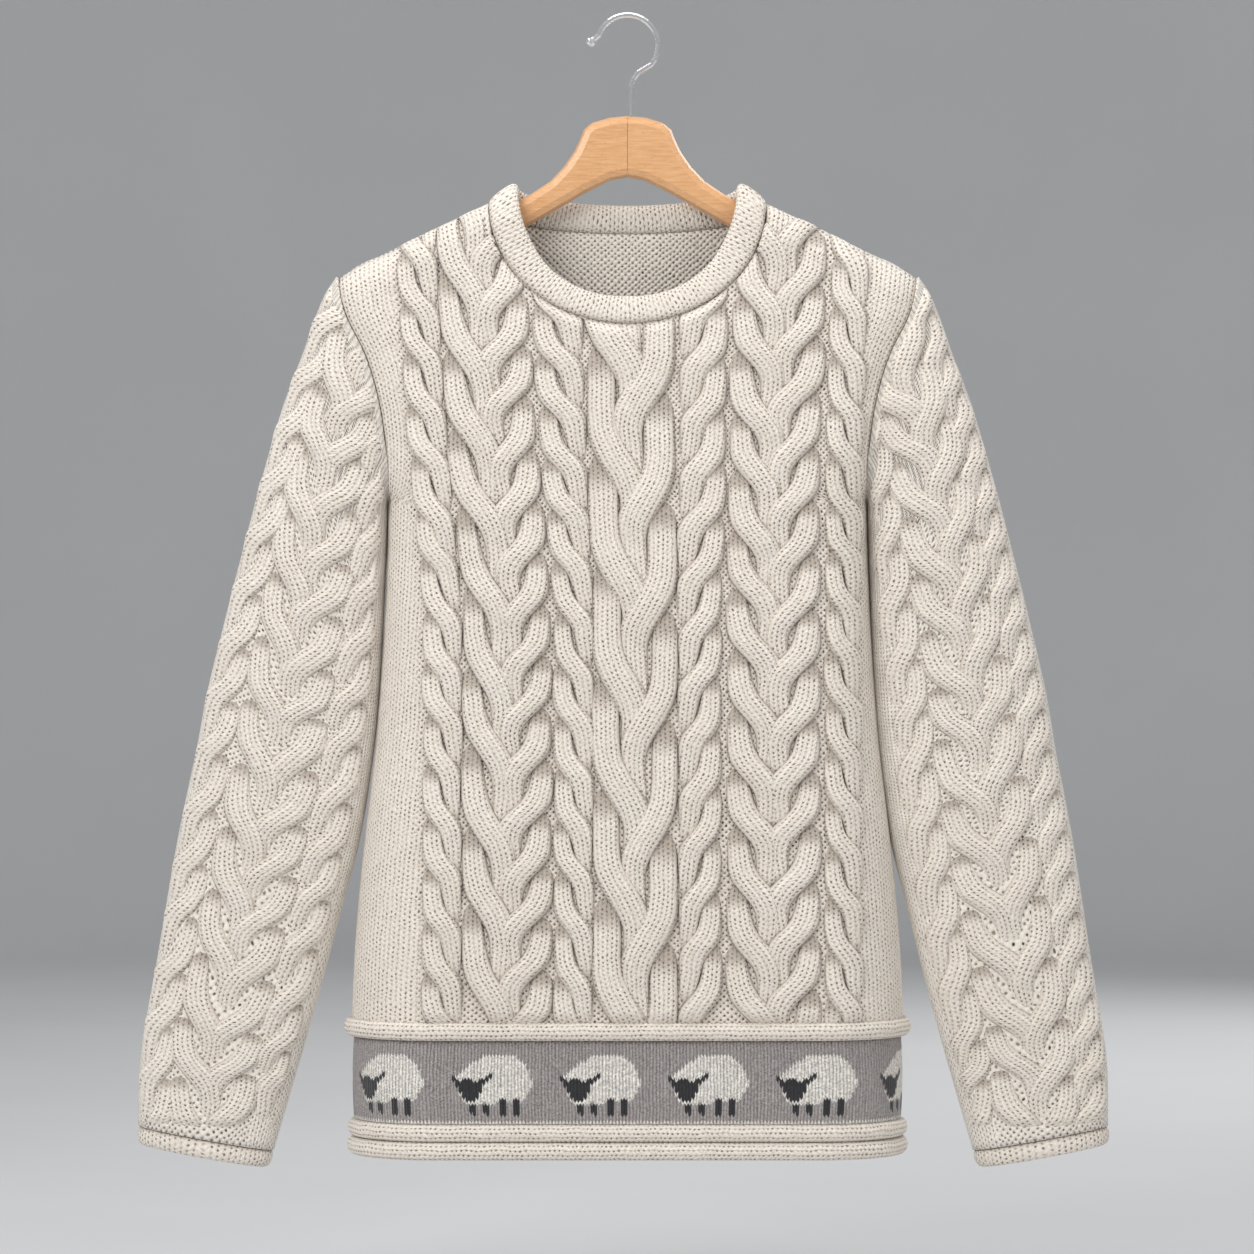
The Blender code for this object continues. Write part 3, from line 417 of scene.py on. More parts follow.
def sleeve_point(angle, place):
    """Plain cloth of the right sleeve: angle round it from its outer edge, share along."""
    rows = np.arange(len(SLEEVE_RINGS), dtype=float)
    at = place * (len(SLEEVE_RINGS) - 1)
    outer_x, outer_z, inner_x, inner_z, depth = (
        smooth_curve(rows, SLEEVE_RINGS[:, column], at) for column in range(5))
    across = bowed(np.cos(angle))
    x = (outer_x + inner_x) / 2 + (outer_x - inner_x) / 2 * across
    z = (outer_z + inner_z) / 2 + (outer_z - inner_z) / 2 * across
    return np.stack((x, -depth * bowed(np.sin(angle)), z), axis=-1)


def sleeve_surface(angle, place, hand):
    """The sleeve's cloth, drawn to the armhole over its first stretch."""
    angle, place = np.broadcast_arrays(np.asarray(angle, float), np.asarray(place, float))
    point = sleeve_point(angle, place)
    folded = np.maximum(-np.cos(angle), 0.0) ** 8
    reach = SLEEVE_HOLD + (CROTCH_HOLD - SLEEVE_HOLD) * folded
    hold = 1 - smooth_step(place / reach)
    z = armhole_height(angle)
    width, depth, turn = body_section(z)
    edge = np.stack((width, -np.copysign(depth * np.cos(turn), np.sin(angle)), z), axis=-1)
    below = np.clip((shoulder_height(width) - z) / SHOULDER_ROUND, 0.0, 1.0)
    edge[..., 1] *= np.sqrt(1 - (1 - below) ** 2)
    point += (edge - sleeve_point(angle, np.zeros_like(place))) * hold[..., None]
    point[..., 2] += CROTCH_LIFT * folded * np.sin(np.pi * hold)
    point[..., 0] = placed_across(point[..., 0], point[..., 2], hand)
    return point


def placed_across(x, z, hand):
    """Mirrors a sleeve's x for the left one, and sways it for the right one."""
    return -x if hand == LEFT else x - RIGHT_SWAY * smooth_step((SWAY_START - z) / SWAY_FALL)


def unit(vectors):
    return vectors / np.maximum(np.linalg.norm(vectors, axis=-1, keepdims=True), 1e-9)


# Mesh building


def grid_mesh(name, columns, rows, copies=1):
    """Flat grids, one after another, whose vertices run across first and then along."""
    shape = bmesh.new()
    for _ in range(copies):
        bmesh.ops.create_grid(shape, x_segments=columns, y_segments=rows, size=0.5)
    mesh = bpy.data.meshes.new(name)
    shape.to_mesh(mesh)
    shape.free()
    return mesh


def set_layers(mesh, stitches, shades=None):
    """Stitch counts as UV, and shares per vertex as attributes."""
    corners = np.empty(len(mesh.loops), dtype=np.int32)
    mesh.loops.foreach_get("vertex_index", corners)
    layer = mesh.uv_layers.new(name="stitches")
    layer.uv.foreach_set("vector", stitches.reshape(-1, 2)[corners].ravel().astype(np.float32))
    for name, values in (shades or {}).items():
        attribute = mesh.attributes.new(name, "FLOAT", "POINT")
        attribute.data.foreach_set("value", values.ravel().astype(np.float32))


def add_piece(name, mesh, points, finish, merge=0.0, flip=False, dropped=None):
    """Moves a grid's vertices to their places and makes it a piece of the object."""
    mesh.vertices.foreach_set("co", points.reshape(-1, 3).ravel().astype(np.float32))
    shape = bmesh.new()
    shape.from_mesh(mesh)
    if dropped is not None:
        shape.verts.ensure_lookup_table()
        gone = dropped.ravel()
        faces = [face for face in shape.faces if all(gone[v.index] for v in face.verts)]
        bmesh.ops.delete(shape, geom=faces, context="FACES")
    if merge:
        bmesh.ops.remove_doubles(shape, verts=shape.verts, dist=merge)
    if flip:
        bmesh.ops.reverse_faces(shape, faces=shape.faces)
    shape.to_mesh(mesh)
    shape.free()
    mesh.shade_smooth()
    return join_object(name, mesh, finish if isinstance(finish, tuple) else (finish,))


def join_object(name, mesh, finishes):
    """Makes a mesh a piece of the object, on its one body."""
    for finish in finishes:
        mesh.materials.append(finish)
    piece = bpy.data.objects.new(name, mesh)
    bpy.context.scene.collection.objects.link(piece)
    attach(piece, "root")
    return piece


def face_outwards(piece):
    shape = bmesh.new()
    shape.from_mesh(piece.data)
    bmesh.ops.recalc_face_normals(shape, faces=shape.faces)
    shape.to_mesh(piece.data)
    shape.free()


def thicken(piece, thickness, inside_slot=0):
    """Gives a cloth its wall, inwards from the face that shows."""
    wall = piece.modifiers.new("wall", "SOLIDIFY")
    wall.thickness = thickness
    wall.offset = -1.0
    wall.material_offset = inside_slot
    wall.use_quality_normals = True


# Materials


def linear(colour):
    """Linear RGBA of an sRGB hex colour."""
    parts = [int(colour[i:i + 2], 16) / 255 for i in (1, 3, 5)]
    parts = [p / 12.92 if p <= 0.04045 else ((p + 0.055) / 1.055) ** 2.4 for p in parts]
    return (*parts, 1.0)


def new_material(name):
    made = bpy.data.materials.new(name)
    made.use_nodes = True
    tree = made.node_tree
    return made, tree, tree.nodes["Principled BSDF"]


def add_node(tree, kind, settings, *inputs, out=0, **named):
    """Adds a node and gives one of its outputs.

    Inputs are numbers, colours or outputs, in the order of its sockets (None leaves one
    as it is) or by name, with _ for a space.
    """
    node = tree.nodes.new("ShaderNode" + kind)
    for key, value in settings.items():
        setattr(node, key, value)
    wanted = [(node.inputs[i], value) for i, value in enumerate(inputs) if value is not None]
    wanted += [(node.inputs[key.replace("_", " ")], value) for key, value in named.items()]
    for socket, value in wanted:
        if isinstance(value, bpy.types.NodeSocket):
            tree.links.new(value, socket)
        else:
            socket.default_value = value
    return node.outputs[out]


SUBTRACT, MULTIPLY = {"operation": "SUBTRACT"}, {"operation": "MULTIPLY"}
SCALE_AND_ADD = {"operation": "MULTIPLY_ADD"}
COSINE, FRACTION = {"operation": "COSINE"}, {"operation": "FRACT"}
SIZE_OF = {"operation": "ABSOLUTE"}
TAKEN_FROM = {"operation": "SUBTRACT", "use_clamp": True}
TURN = 2 * math.pi


def stitch_pattern(tree):
    """Heights and gaps of knit stitches, from UV counted in legs across and rows along.

    In stockinette each stitch is a V of two steep legs, and a short gap shows in
    every row between two legs, half a row lower in each second column. In purl, small
    bumps stand in a checker with a hole between them. Gives the place, both heights and
    both gap masks, 0 to 1, which shape the bump and say where shade is painted.
    """
    uv = add_node(tree, "UVMap", {"uv_map": "stitches"})
    place = add_node(tree, "TexCoord", {}, out=3)
    sway = add_node(tree, "TexNoise", {}, Vector=place, Scale=1 / (8 * MM), Detail=2.0)
    stray = add_node(tree, "TexNoise", {}, Vector=place, Scale=1 / (11 * MM), Detail=2.0, out=1)
    leg_stray = add_node(tree, "SeparateXYZ", {}, stray)
    leg_count = add_node(tree, "SeparateXYZ", {}, uv)
    row_count = add_node(tree, "SeparateXYZ", {}, uv, out=1)
    leg_at = add_node(tree, "Math", SCALE_AND_ADD, leg_stray, 0.8, leg_count)
    row = add_node(tree, "Math", SCALE_AND_ADD, sway, 1.3, row_count)
    aside = add_node(tree, "Math", SUBTRACT, add_node(tree, "Math", FRACTION, leg_at), 0.5)
    off = add_node(tree, "Math", MULTIPLY, add_node(tree, "Math", SIZE_OF, aside), 2.0)
    # Swings from 0 at one gap between legs to 1 at the next, and so shapes the V
    swing = add_node(tree, "Math", {"operation": "PINGPONG"}, leg_at, 1.0)
    slant = add_node(tree, "Math", SCALE_AND_ADD, swing, -1.5, row)
    hump = add_node(tree, "Math", COSINE, add_node(tree, "Math", MULTIPLY, slant, TURN))
    second = add_node(tree, "Math", {"operation": "ROUND"}, swing)
    dash_at = add_node(tree, "Math", SCALE_AND_ADD, second, 0.5, row)
    dash_wave = add_node(tree, "Math", COSINE, add_node(tree, "Math", MULTIPLY, dash_at, TURN))
    dash = add_node(tree, "MapRange", {}, dash_wave, -0.15, 0.6)
    groove = add_node(tree, "MapRange", {}, off, 0.42, 0.95)
    sunk = add_node(tree, "Math", MULTIPLY, groove, add_node(tree, "Math", SCALE_AND_ADD, dash, 0.6, 0.22))
    leg = add_node(tree, "Math", SCALE_AND_ADD, hump, 0.14, 0.86)
    plain = add_node(tree, "Math", TAKEN_FROM, leg, sunk)
    seen = add_node(tree, "MapRange", {}, sway, 0.38, 0.6, 0.25, 1.0)
    dash_height = add_node(tree, "Math", SCALE_AND_ADD, dash_wave, 0.5, 0.5)
    rounded = add_node(tree, "Math", MULTIPLY, dash_height, off)
    gap = add_node(tree, "Math", MULTIPLY, add_node(tree, "MapRange", {}, rounded, 0.56, 0.80), seen)
    # Purl, in bumps of a leg and a half by a row and a third
    bump_wave = add_node(tree, "Math", COSINE, add_node(tree, "Math", MULTIPLY, leg_at, 0.70 * TURN))
    row_wave = add_node(tree, "Math", COSINE, add_node(tree, "Math", MULTIPLY, row, 0.75 * TURN))
    checker = add_node(tree, "Math", MULTIPLY, bump_wave, row_wave)
    purl = add_node(tree, "Math", SCALE_AND_ADD, checker, 0.5, 0.5)
    purl_gap = add_node(tree, "MapRange", {}, purl, 0.28, 0.05)
    return place, plain, gap, purl, purl_gap


def knit_material(name, light, shade, deep_shade_colour, chart=False):
    """Spun wool yarn, machine knitted: matt and a little fuzzy, with a pale nap at
    grazing angles and flecks of darker fibre in the yarn. Shade is painted into the colour:
    in the low parts of each stitch, in the gaps between stitches, in holes and in crevices.
    On a charted knit the colours given darken each stitch's own yarn as painted shade."""
    made, tree, shader = new_material(name)
    place, plain, gap, purl, purl_gap = stitch_pattern(tree)
    turned = add_node(tree, "Attribute", {"attribute_name": "purl"}, out=2)
    deep = add_node(tree, "Attribute", {"attribute_name": "crevice_shade"}, out=2)
    height = add_node(tree, "Mix", {}, turned, None, plain, purl)
    between = add_node(tree, "Mix", {}, turned, None, gap, purl_gap)
    blend = {"blend_type": "MULTIPLY" if chart else "MIX"}
    lumps = add_node(tree, "TexNoise", {}, Vector=place, Scale=1 / (1.7 * MM), Detail=3.0, Roughness=0.7)
    clouds = add_node(tree, "TexNoise", {}, Vector=place, Scale=1 / (42 * MM), Detail=2.0)
    drift = add_node(tree, "MapRange", {}, clouds, 0.3, 0.7, 0.0, 0.3)
    if chart:
        colour = add_node(tree, "Attribute", {"attribute_name": "yarn"})
        mottle = add_node(tree, "MapRange", {}, lumps, 0.3, 0.7, 0.62, 1.5)
        colour = add_node(tree, "MixRGB", blend, 1.0, colour, mottle)
    else:
        colour = add_node(tree, "MixRGB", {}, drift, linear(light), linear(shade))
        flecked = add_node(tree, "MapRange", {}, lumps, 0.42, 0.68, 0.0, 0.95)
        colour = add_node(tree, "MixRGB", {}, flecked, colour, linear(shade))
    # Painted shade: the low parts of each stitch's relief are darkened towards the shade colour
    low = add_node(tree, "Math", TAKEN_FROM, 1.0, height)
    hollow_shade = add_node(tree, "Math", MULTIPLY, low, 0.55)
    colour = add_node(tree, "MixRGB", blend, hollow_shade, colour, linear(shade))
    # Painted shade in the gaps between stitches
    gap_shade = add_node(tree, "Math", MULTIPLY, between, 0.95)
    colour = add_node(tree, "MixRGB", blend, gap_shade, colour, linear(deep_shade_colour))
    # Here and there a purl channel has a hole, painted nearly black as the shade deep in it
    holes = add_node(tree, "TexNoise", {}, Vector=place, Scale=1 / (9 * MM), Detail=1.0)
    hole_shade = add_node(tree, "MapRange", {}, holes, 0.55, 0.68)
    hole_shade = add_node(tree, "Math", MULTIPLY, add_node(tree, "Math", MULTIPLY, hole_shade, between), turned)
    colour = add_node(tree, "MixRGB", blend, hole_shade, colour, linear("#3A2D23"))
    # Painted shade along strand edges and in the creases of seams and rolls, from the per-vertex crevice
    # values
    sunk = add_node(tree, "Math", MULTIPLY, deep, 0.5)
    colour = add_node(tree, "MixRGB", blend, sunk, colour, linear(deep_shade_colour))
    tree.links.new(colour, shader.inputs["Base Color"])
    shader.inputs["Roughness"].default_value = 0.92
    shader.inputs["Specular IOR Level"].default_value = 0.25
    shader.inputs["Sheen Weight"].default_value = 0.25
    shader.inputs["Sheen Roughness"].default_value = 0.6
    fuzz = add_node(tree, "TexNoise", {}, Vector=place, Scale=1 / (0.8 * MM), Detail=2.0, Roughness=0.6)
    sunken = add_node(tree, "Math", SCALE_AND_ADD, between, -0.5, height)
    relief = add_node(tree, "Math", SCALE_AND_ADD, fuzz, 0.25, sunken)
    bump = add_node(tree, "Bump", {}, Strength=1.0, Distance=1.0 * MM, Height=relief)
    tree.links.new(bump, shader.inputs["Normal"])
    return made


def beech_material(name, lean):
    """Beech, planed, sanded and clear varnished: pinkish straw colour, fine straight
    grain along the arm, short darker ray flecks, and a soft gloss."""
    made, tree, shader = new_material(name)
    place = add_node(tree, "TexCoord", {}, out=3)
    along = add_node(tree, "Mapping", {}, Vector=place, Rotation=(0.0, lean, 0.0), Scale=(0.07, 1.0, 1.0))
    fine = add_node(tree, "TexNoise", {}, Vector=along, Scale=1 / (1.1 * MM), Detail=4.0, Roughness=0.65)
    broad = add_node(tree, "TexNoise", {}, Vector=along, Scale=1 / (7 * MM), Detail=2.0)
    rays = add_node(tree, "Mapping", {}, Vector=place, Rotation=(0.0, lean, 0.0), Scale=(0.35, 1.0, 1.0))
    ray_noise = add_node(tree, "TexNoise", {}, Vector=rays, Scale=1 / (0.9 * MM), Detail=1.0)
    rays = add_node(tree, "MapRange", {}, ray_noise, 0.66, 0.76)
    grain = add_node(tree, "MapRange", {}, fine, 0.35, 0.65)
    colour = add_node(tree, "MixRGB", {}, grain, linear("#E3B385"), linear("#CF9863"))
    warm = add_node(tree, "Math", MULTIPLY, broad, 0.4)
    colour = add_node(tree, "MixRGB", {}, warm, colour, linear("#E3A873"))
    flecks = add_node(tree, "Math", MULTIPLY, rays, 0.45)
    colour = add_node(tree, "MixRGB", {}, flecks, colour, linear("#A96F3F"))
    tree.links.new(colour, shader.inputs["Base Color"])
    rough = add_node(tree, "Math", SCALE_AND_ADD, fine, 0.12, 0.32)
    tree.links.new(rough, shader.inputs["Roughness"])
    shader.inputs["Coat Weight"].default_value = 0.25
    shader.inputs["Coat Roughness"].default_value = 0.25
    bump = add_node(tree, "Bump", {}, Strength=0.25, Distance=0.15 * MM, Height=fine)
    tree.links.new(bump, shader.inputs["Normal"])
    return made


def chrome_material(name):
    """Steel wire, drawn, bent and chromium plated: mirror bright with a slightly blue
    grey tone, and dull specks."""
    made, tree, shader = new_material(name)
    place = add_node(tree, "TexCoord", {}, out=3)
    dust = add_node(tree, "TexNoise", {}, Vector=place, Scale=1 / (1.4 * MM), Detail=3.0, Roughness=0.7)
    specks = add_node(tree, "MapRange", {}, dust, 0.55, 0.8)
    dulled = add_node(tree, "Math", MULTIPLY, specks, 0.35)
    colour = add_node(tree, "MixRGB", {}, dulled, linear("#FBFCFD"), linear("#D6D8DA"))
    tree.links.new(colour, shader.inputs["Base Color"])
    shader.inputs["Metallic"].default_value = 1.0
    rough = add_node(tree, "Math", SCALE_AND_ADD, specks, 0.12, 0.24)
    tree.links.new(rough, shader.inputs["Roughness"])
    bump = add_node(tree, "Bump", {}, Strength=0.15, Distance=0.05 * MM, Height=specks)
    tree.links.new(bump, shader.inputs["Normal"])
    return made


def studio_material(name, colour):
    """Matt painted board: a plain pale ground with no gloss."""
    made, tree, shader = new_material(name)
    place = add_node(tree, "TexCoord", {}, out=3)
    tone = add_node(tree, "TexNoise", {}, Vector=place, Scale=1 / (400 * MM), Detail=2.0)
    faint = add_node(tree, "Math", MULTIPLY, tone, 0.15)
    tint = add_node(tree, "MixRGB", {}, faint, linear(colour), linear("#FFFFFF"))
    tree.links.new(tint, shader.inputs["Base Color"])
    shader.inputs["Roughness"].default_value = 0.9
    return made


# Cream knit colours: the yarn's light tone; its darker tone and flecks, which also serve as painted shade
# in the low parts of each stitch; and painted shade for the gaps between stitches and for crevices
CREAM_LIGHT, CREAM_SHADE, CREAM_DEEP_SHADE = "#F6EEE4", "#DCD0C1", "#745F4B"
GREY_YARN = "#A8A19F"
SHEEP_CREAM, SHEEP_BLACK = "#EFEAE2", "#26262A"

cream_knit = knit_material("cream wool knit", CREAM_LIGHT, CREAM_SHADE, CREAM_DEEP_SHADE)
# The inner face is the same cream yarn, painted paler than the outer face as painted light against the
# shade inside the sweater, with lighter painted shade in its gaps
cream_reverse_painted_paler = knit_material("cream wool knit, inner face painted paler", "#FBF5EC", "#E4DACC", "#8E7C6A")
# The band's second and third colours multiply each stitch's yarn as painted shade in the low parts of
# stitches and in the gaps between them
band_knit = knit_material("grey melange knit with sheep", "#FFFFFF", "#A6A1A0", "#4C4848", chart=True)
beech_left = beech_material("beech, left half", math.radians(-25))
beech_right = beech_material("beech, right half", math.radians(25))
chrome = chrome_material("chromed steel wire")


# Body panels and their cables

PANEL_COLUMNS = 88
PANEL_ROWS = 124
PANEL_HALF_RUN = 0.205
PURL_MARGIN = 3 * MM
BODY_BOTTOM = HEM_TOP + SEAM


def column_tops(side):
    """Top height of a panel for the share of the way across it."""
    x = np.concatenate((np.linspace(SHOULDER_TIP[0], NECK_HALF_WIDTH, 20),
                        NECK_HALF_WIDTH * np.cos(np.linspace(0, math.pi / 2, 40))[1:]))
    z = panel_top(x, side)
    width, depth, turn = body_section(z)
    flat, across, length = corner_of(width, depth, turn)
    sine = np.clip((x - flat) / across, 0.0, np.sin(turn))
    run = np.where(x > flat, flat + np.arcsin(sine) / turn * length, x)
    share = run / (flat + length)
    order = np.argsort(share)
    return share[order], z[order]


def cable_centre(cable, z):
    levels = np.array(CABLE_LEVELS)[::-1]
    return smooth_curve(levels, np.array(cable[:3])[::-1] * MM, z)


def knit_panel(name, side):
    """The plain ground of the front or back, purl between the cables."""
    share = np.linspace(-1.0, 1.0, PANEL_COLUMNS + 1)
    keys, heights = column_tops(side)
    top = np.interp(np.abs(share), keys, heights)
    rise = np.linspace(0.0, 1.0, PANEL_ROWS + 1)[:, None]
    z = BODY_BOTTOM + (top[None, :] - BODY_BOTTOM) * rise
    share = np.broadcast_to(share, z.shape)
    points = panel_surface(share, z, side)
    mesh = grid_mesh(name, PANEL_COLUMNS, PANEL_ROWS)
    stitches = np.stack((share * (PANEL_HALF_RUN / CREAM_WALE), z / CREAM_ROW), axis=-1)
    x = points[..., 0]
    first = cable_centre(BODY_CABLES[0], z) - BODY_CABLES[0][3] * MM
    last = cable_centre(BODY_CABLES[-1], z) + BODY_CABLES[-1][3] * MM
    purl = ((x > first - PURL_MARGIN) & (x < last + PURL_MARGIN)).astype(float)
    set_layers(mesh, stitches, {"purl": purl})
    piece = add_piece(name, mesh, points, (cream_knit, cream_reverse_painted_paler),
                      flip=side == BACK)
    thicken(piece, CLOTH, inside_slot=1)
    return piece


def strand_section():
    """Places round a strand: over its flat crowned face and back along its underside."""
    face = np.linspace(-1.0, 1.0, STRAND_TOP_CORNERS)
    crown = np.maximum(1 - np.abs(face) ** STRAND_ROUNDNESS, 0.0) ** 0.5
    under = STRAND_CORNERS - STRAND_TOP_CORNERS
    back_face = np.linspace(1.0, -1.0, under + 2)[1:-1]
    across = np.concatenate((face, back_face, face[:1]))
    lift = np.concatenate((crown, np.full(under, STRAND_UNDERSIDE), crown[:1]))
    return across[None, :], lift[None, :]


def strand_starts(cable, reach):
    """Places down a cable where its strands come out."""
    first = reach[0] - 1.7 * cable["repeat"]
    shift = (cable["start"] - first) % cable["repeat"]
    return np.arange(first + shift, reach[1] - 0.2 * cable["repeat"], cable["repeat"])


def lay_cables(name, cloth, cables, reach):
    """All the strands of some cables, laid on a cloth.

    cloth takes (across, down) and gives the point there, its normal, and the distance
    to the nearest seam, which is below 0 past it. reach is how far down cables run.
    """
    jobs = [(cable, top) for cable in cables for top in strand_starts(cable, reach)]
    row_counts = [max(round(2 * cable["repeat"] / STRAND_ROW), 12) for cable, _ in jobs]
    chance = np.random.default_rng(len(name))
    shape = bmesh.new()
    for rows in row_counts:
        bmesh.ops.create_grid(shape, x_segments=STRAND_CORNERS, y_segments=rows, size=0.5)
    mesh = bpy.data.meshes.new(name)
    shape.to_mesh(mesh)
    shape.free()
    across, lift = strand_section()
    points, stitches, crevice_shades, past_seam = [], [], [], []
    for (cable, top), rows in zip(jobs, row_counts):
        strand = cable["strand"]
        slip, shift, swell = chance.uniform(-1, 1, 3) * STRAND_STRAY
        along = np.linspace(strand[0, 0], strand[-1, 0], rows + 1)[:, None]
        centre, half, height, crown = (
            smooth_curve(strand[:, 0], strand[:, column], along) for column in range(1, 5))
        half = half * (1 + swell)
        centre = centre + shift * np.cos(SIDE_SWING * along)
        down = top + (along + slip * np.sin(START_SWING * along)) * cable["repeat"] + 0 * across
        place = (centre + half * across * cable["lean"]) * cable["lean"]
        middle, width = cable["line"](down)
        base, normal, margin = cloth(middle + place * width, down)
        settle = np.clip(margin / SEAM_SETTLE, 0.0, 1.0)
        raised = (height + crown * lift) * cable["height"] * MM
        raised = raised * (SEAM_HEIGHT + (1 - SEAM_HEIGHT) * settle) - (1 - settle) * SEAM_SINK
        points.append((base + normal * raised[..., None]).reshape(-1, 3))
        fall = np.gradient(centre[:, 0] * np.mean(width + 0 * down, axis=1), down[:, 0])[:, None]
        upright = 1 / np.sqrt(1 + fall * fall)
        run = np.cumsum(np.gradient(down[:, :1], axis=0) / upright, axis=0)
        wale = across * half * width * upright / CREAM_WALE + 0.5
        row = -run / CREAM_ROW + 0 * across
        stitches.append(np.stack((wale, row), axis=-1).reshape(-1, 2))
        # Shade along both edges, and where the strand comes out and dives
        ends = np.maximum(1 - (along + 0.06) / 0.16, (along - 1.6) / 0.25)
        crevice_shades.append(np.clip(np.maximum(0.8 * np.abs(across) ** 9, ends), 0, 1).ravel())
        past_seam.append((margin < 0).ravel())
    set_layers(mesh, np.concatenate(stitches), {"crevice_shade": np.concatenate(crevice_shades)})
    piece = add_piece(name, mesh, np.concatenate(points), cream_knit,
                      merge=WELD, dropped=np.concatenate(past_seam))
    face_outwards(piece)
    return piece


def cable_facts(line, half, repeat, start, lean, form):
    """What the strands of one cable need, in metres."""
    return {"line": line, "repeat": repeat, "start": start, "lean": lean,
            "strand": STRAND_FORMS[form],
            "height": min(half / STRAND_SCALE, STRAND_SCALE_LIMIT)}


SHOULDER_LEVEL = 0.12
UNDER_THE_ROLL = 0.0125


def body_cables(name, side):
    """The ten cables of a panel. Down is measured from z = 0."""
    cables = []
    for place, cable in enumerate(BODY_CABLES):
        half, repeat, start, lean, form = cable[3] * MM, cable[4] * MM, -cable[5] * MM, *cable[6:]
        beside = BODY_CABLES[max(place - 1, 0)], BODY_CABLES[min(place + 1, len(BODY_CABLES) - 1)]

        def line(down, cable=cable, half=half, beside=beside):
            room = cable_centre(beside[1], -down) - cable_centre(beside[0], -down)
            return cable_centre(cable, -down), half * room / ((beside[1][2] - beside[0][2]) * MM)

        cables.append(cable_facts(line, half, repeat, start, lean, form))
    foot = -BODY_BOTTOM - UNDER_THE_ROLL

    def cloth(x, down):
        top = 1.0 * MM - panel_top(x, side)
        kept = np.clip(down, top, foot)
        base = body_surface(x, -kept, side)
        step = 0.5 * MM
        over = body_surface(x + step, -kept, side) - body_surface(x - step, -kept, side)
        under = body_surface(x, -kept - step, side) - body_surface(x, -kept + step, side)
        normal = unit(np.cross(over, under)) * side
        return base, normal, np.minimum(down - top, foot - down)

    return lay_cables(name, cloth, cables, (SHOULDER_LEVEL, foot))


front_knit = knit_panel("front_knit", FRONT)
back_knit = knit_panel("back_knit", BACK)
front_cables = body_cables("front_cables", FRONT)
back_cables = body_cables("back_cables", BACK)


# Sleeves

SLEEVE_COLUMNS = 64
SLEEVE_ROWS = 130
SLEEVE_ROUND = 0.29
# Where a sleeve's ground is purl: cosines of the angle from its outer edge, and share
# of its length below the armhole
PURL_SPAN = (-0.62, 0.90)
PURL_TOP = 0.035
EDGE_MARGIN = 1.5 * MM
EDGE_SPARE = 4 * MM
EDGE_STEP = 12 * MM


def knit_sleeve(name, hand):
    """The plain ground of a sleeve: one tube, seamed at its inner edge."""
    angle = np.linspace(-math.pi, math.pi, SLEEVE_COLUMNS + 1)[None, :]
    place = np.linspace(0.0, 1.0, SLEEVE_ROWS + 1)[:, None]
    angle, place = np.broadcast_arrays(angle, place)
    points = sleeve_surface(angle, place, hand)
    mesh = grid_mesh(name, SLEEVE_COLUMNS, SLEEVE_ROWS)
    legs = angle / TURN * round(SLEEVE_ROUND / CREAM_WALE)
    stitches = np.stack((legs, -place * SLEEVE_LENGTH / CREAM_ROW), axis=-1)
    across = np.cos(angle)
    purl = ((across > PURL_SPAN[0]) & (across < PURL_SPAN[1]) & (place > PURL_TOP)).astype(float)
    set_layers(mesh, stitches, {"purl": purl})
    piece = add_piece(name, mesh, points, (cream_knit, cream_reverse_painted_paler),
                      merge=WELD, flip=hand == RIGHT)
    thicken(piece, CLOTH, inside_slot=1)
    return piece


def front_view(piece, side, step=2.0 * MM):
    """How deep a piece lies seen from the front or the back: x, z, y and where it is."""
    corners = np.array([vertex.co for vertex in piece.data.vertices])
    tree = BVHTree.FromPolygons([vertex.co for vertex in piece.data.vertices],
                                [face.vertices for face in piece.data.polygons])
    xs = np.arange(corners[:, 0].min() - step, corners[:, 0].max() + 2 * step, step)
    zs = np.arange(corners[:, 2].min() - step, corners[:, 2].max() + 2 * step, step)
    depth = np.zeros((len(xs), len(zs)))
    for i, x in enumerate(xs):
        for j, z in enumerate(zs):
            hit = tree.ray_cast(Vector((x, side, z)), Vector((0, -side, 0)))[0]
            depth[i, j] = hit.y if hit else 0.0
    return xs, zs, depth


def read_map(xs, zs, values, x, z):
    """Value of a map between its points."""
    u = np.clip((x - xs[0]) / (xs[1] - xs[0]), 0, len(xs) - 1.001)
    v = np.clip((z - zs[0]) / (zs[1] - zs[0]), 0, len(zs) - 1.001)
    i, j = u.astype(int), v.astype(int)
    u, v = u - i, v - j
    near = values[i, j] * (1 - v) + values[i, j + 1] * v
    far = values[i + 1, j] * (1 - v) + values[i + 1, j + 1] * v
    return near * (1 - u) + far * u


OUTER_EDGE = SLEEVE_RINGS[:, 0:2]
OUTER_RUN = np.concatenate(([0], np.cumsum(np.linalg.norm(np.diff(OUTER_EDGE, axis=0), axis=1))))


def down_the_sleeve(inwards, down):
    """x and z in front view, so far down the outer edge and so far in from it."""
    down = np.clip(down, 0.0, OUTER_RUN[-1])
    edge = [smooth_curve(OUTER_RUN, OUTER_EDGE[:, column], down) for column in (0, 1)]
    fall_x, fall_z = (smooth_curve(OUTER_RUN, OUTER_EDGE[:, column], down + EDGE_STEP)
                      - smooth_curve(OUTER_RUN, OUTER_EDGE[:, column], down - EDGE_STEP)
                      for column in (0, 1))
    length = np.hypot(fall_x, fall_z)
    return edge[0] + inwards * fall_z / length, edge[1] - inwards * fall_x / length


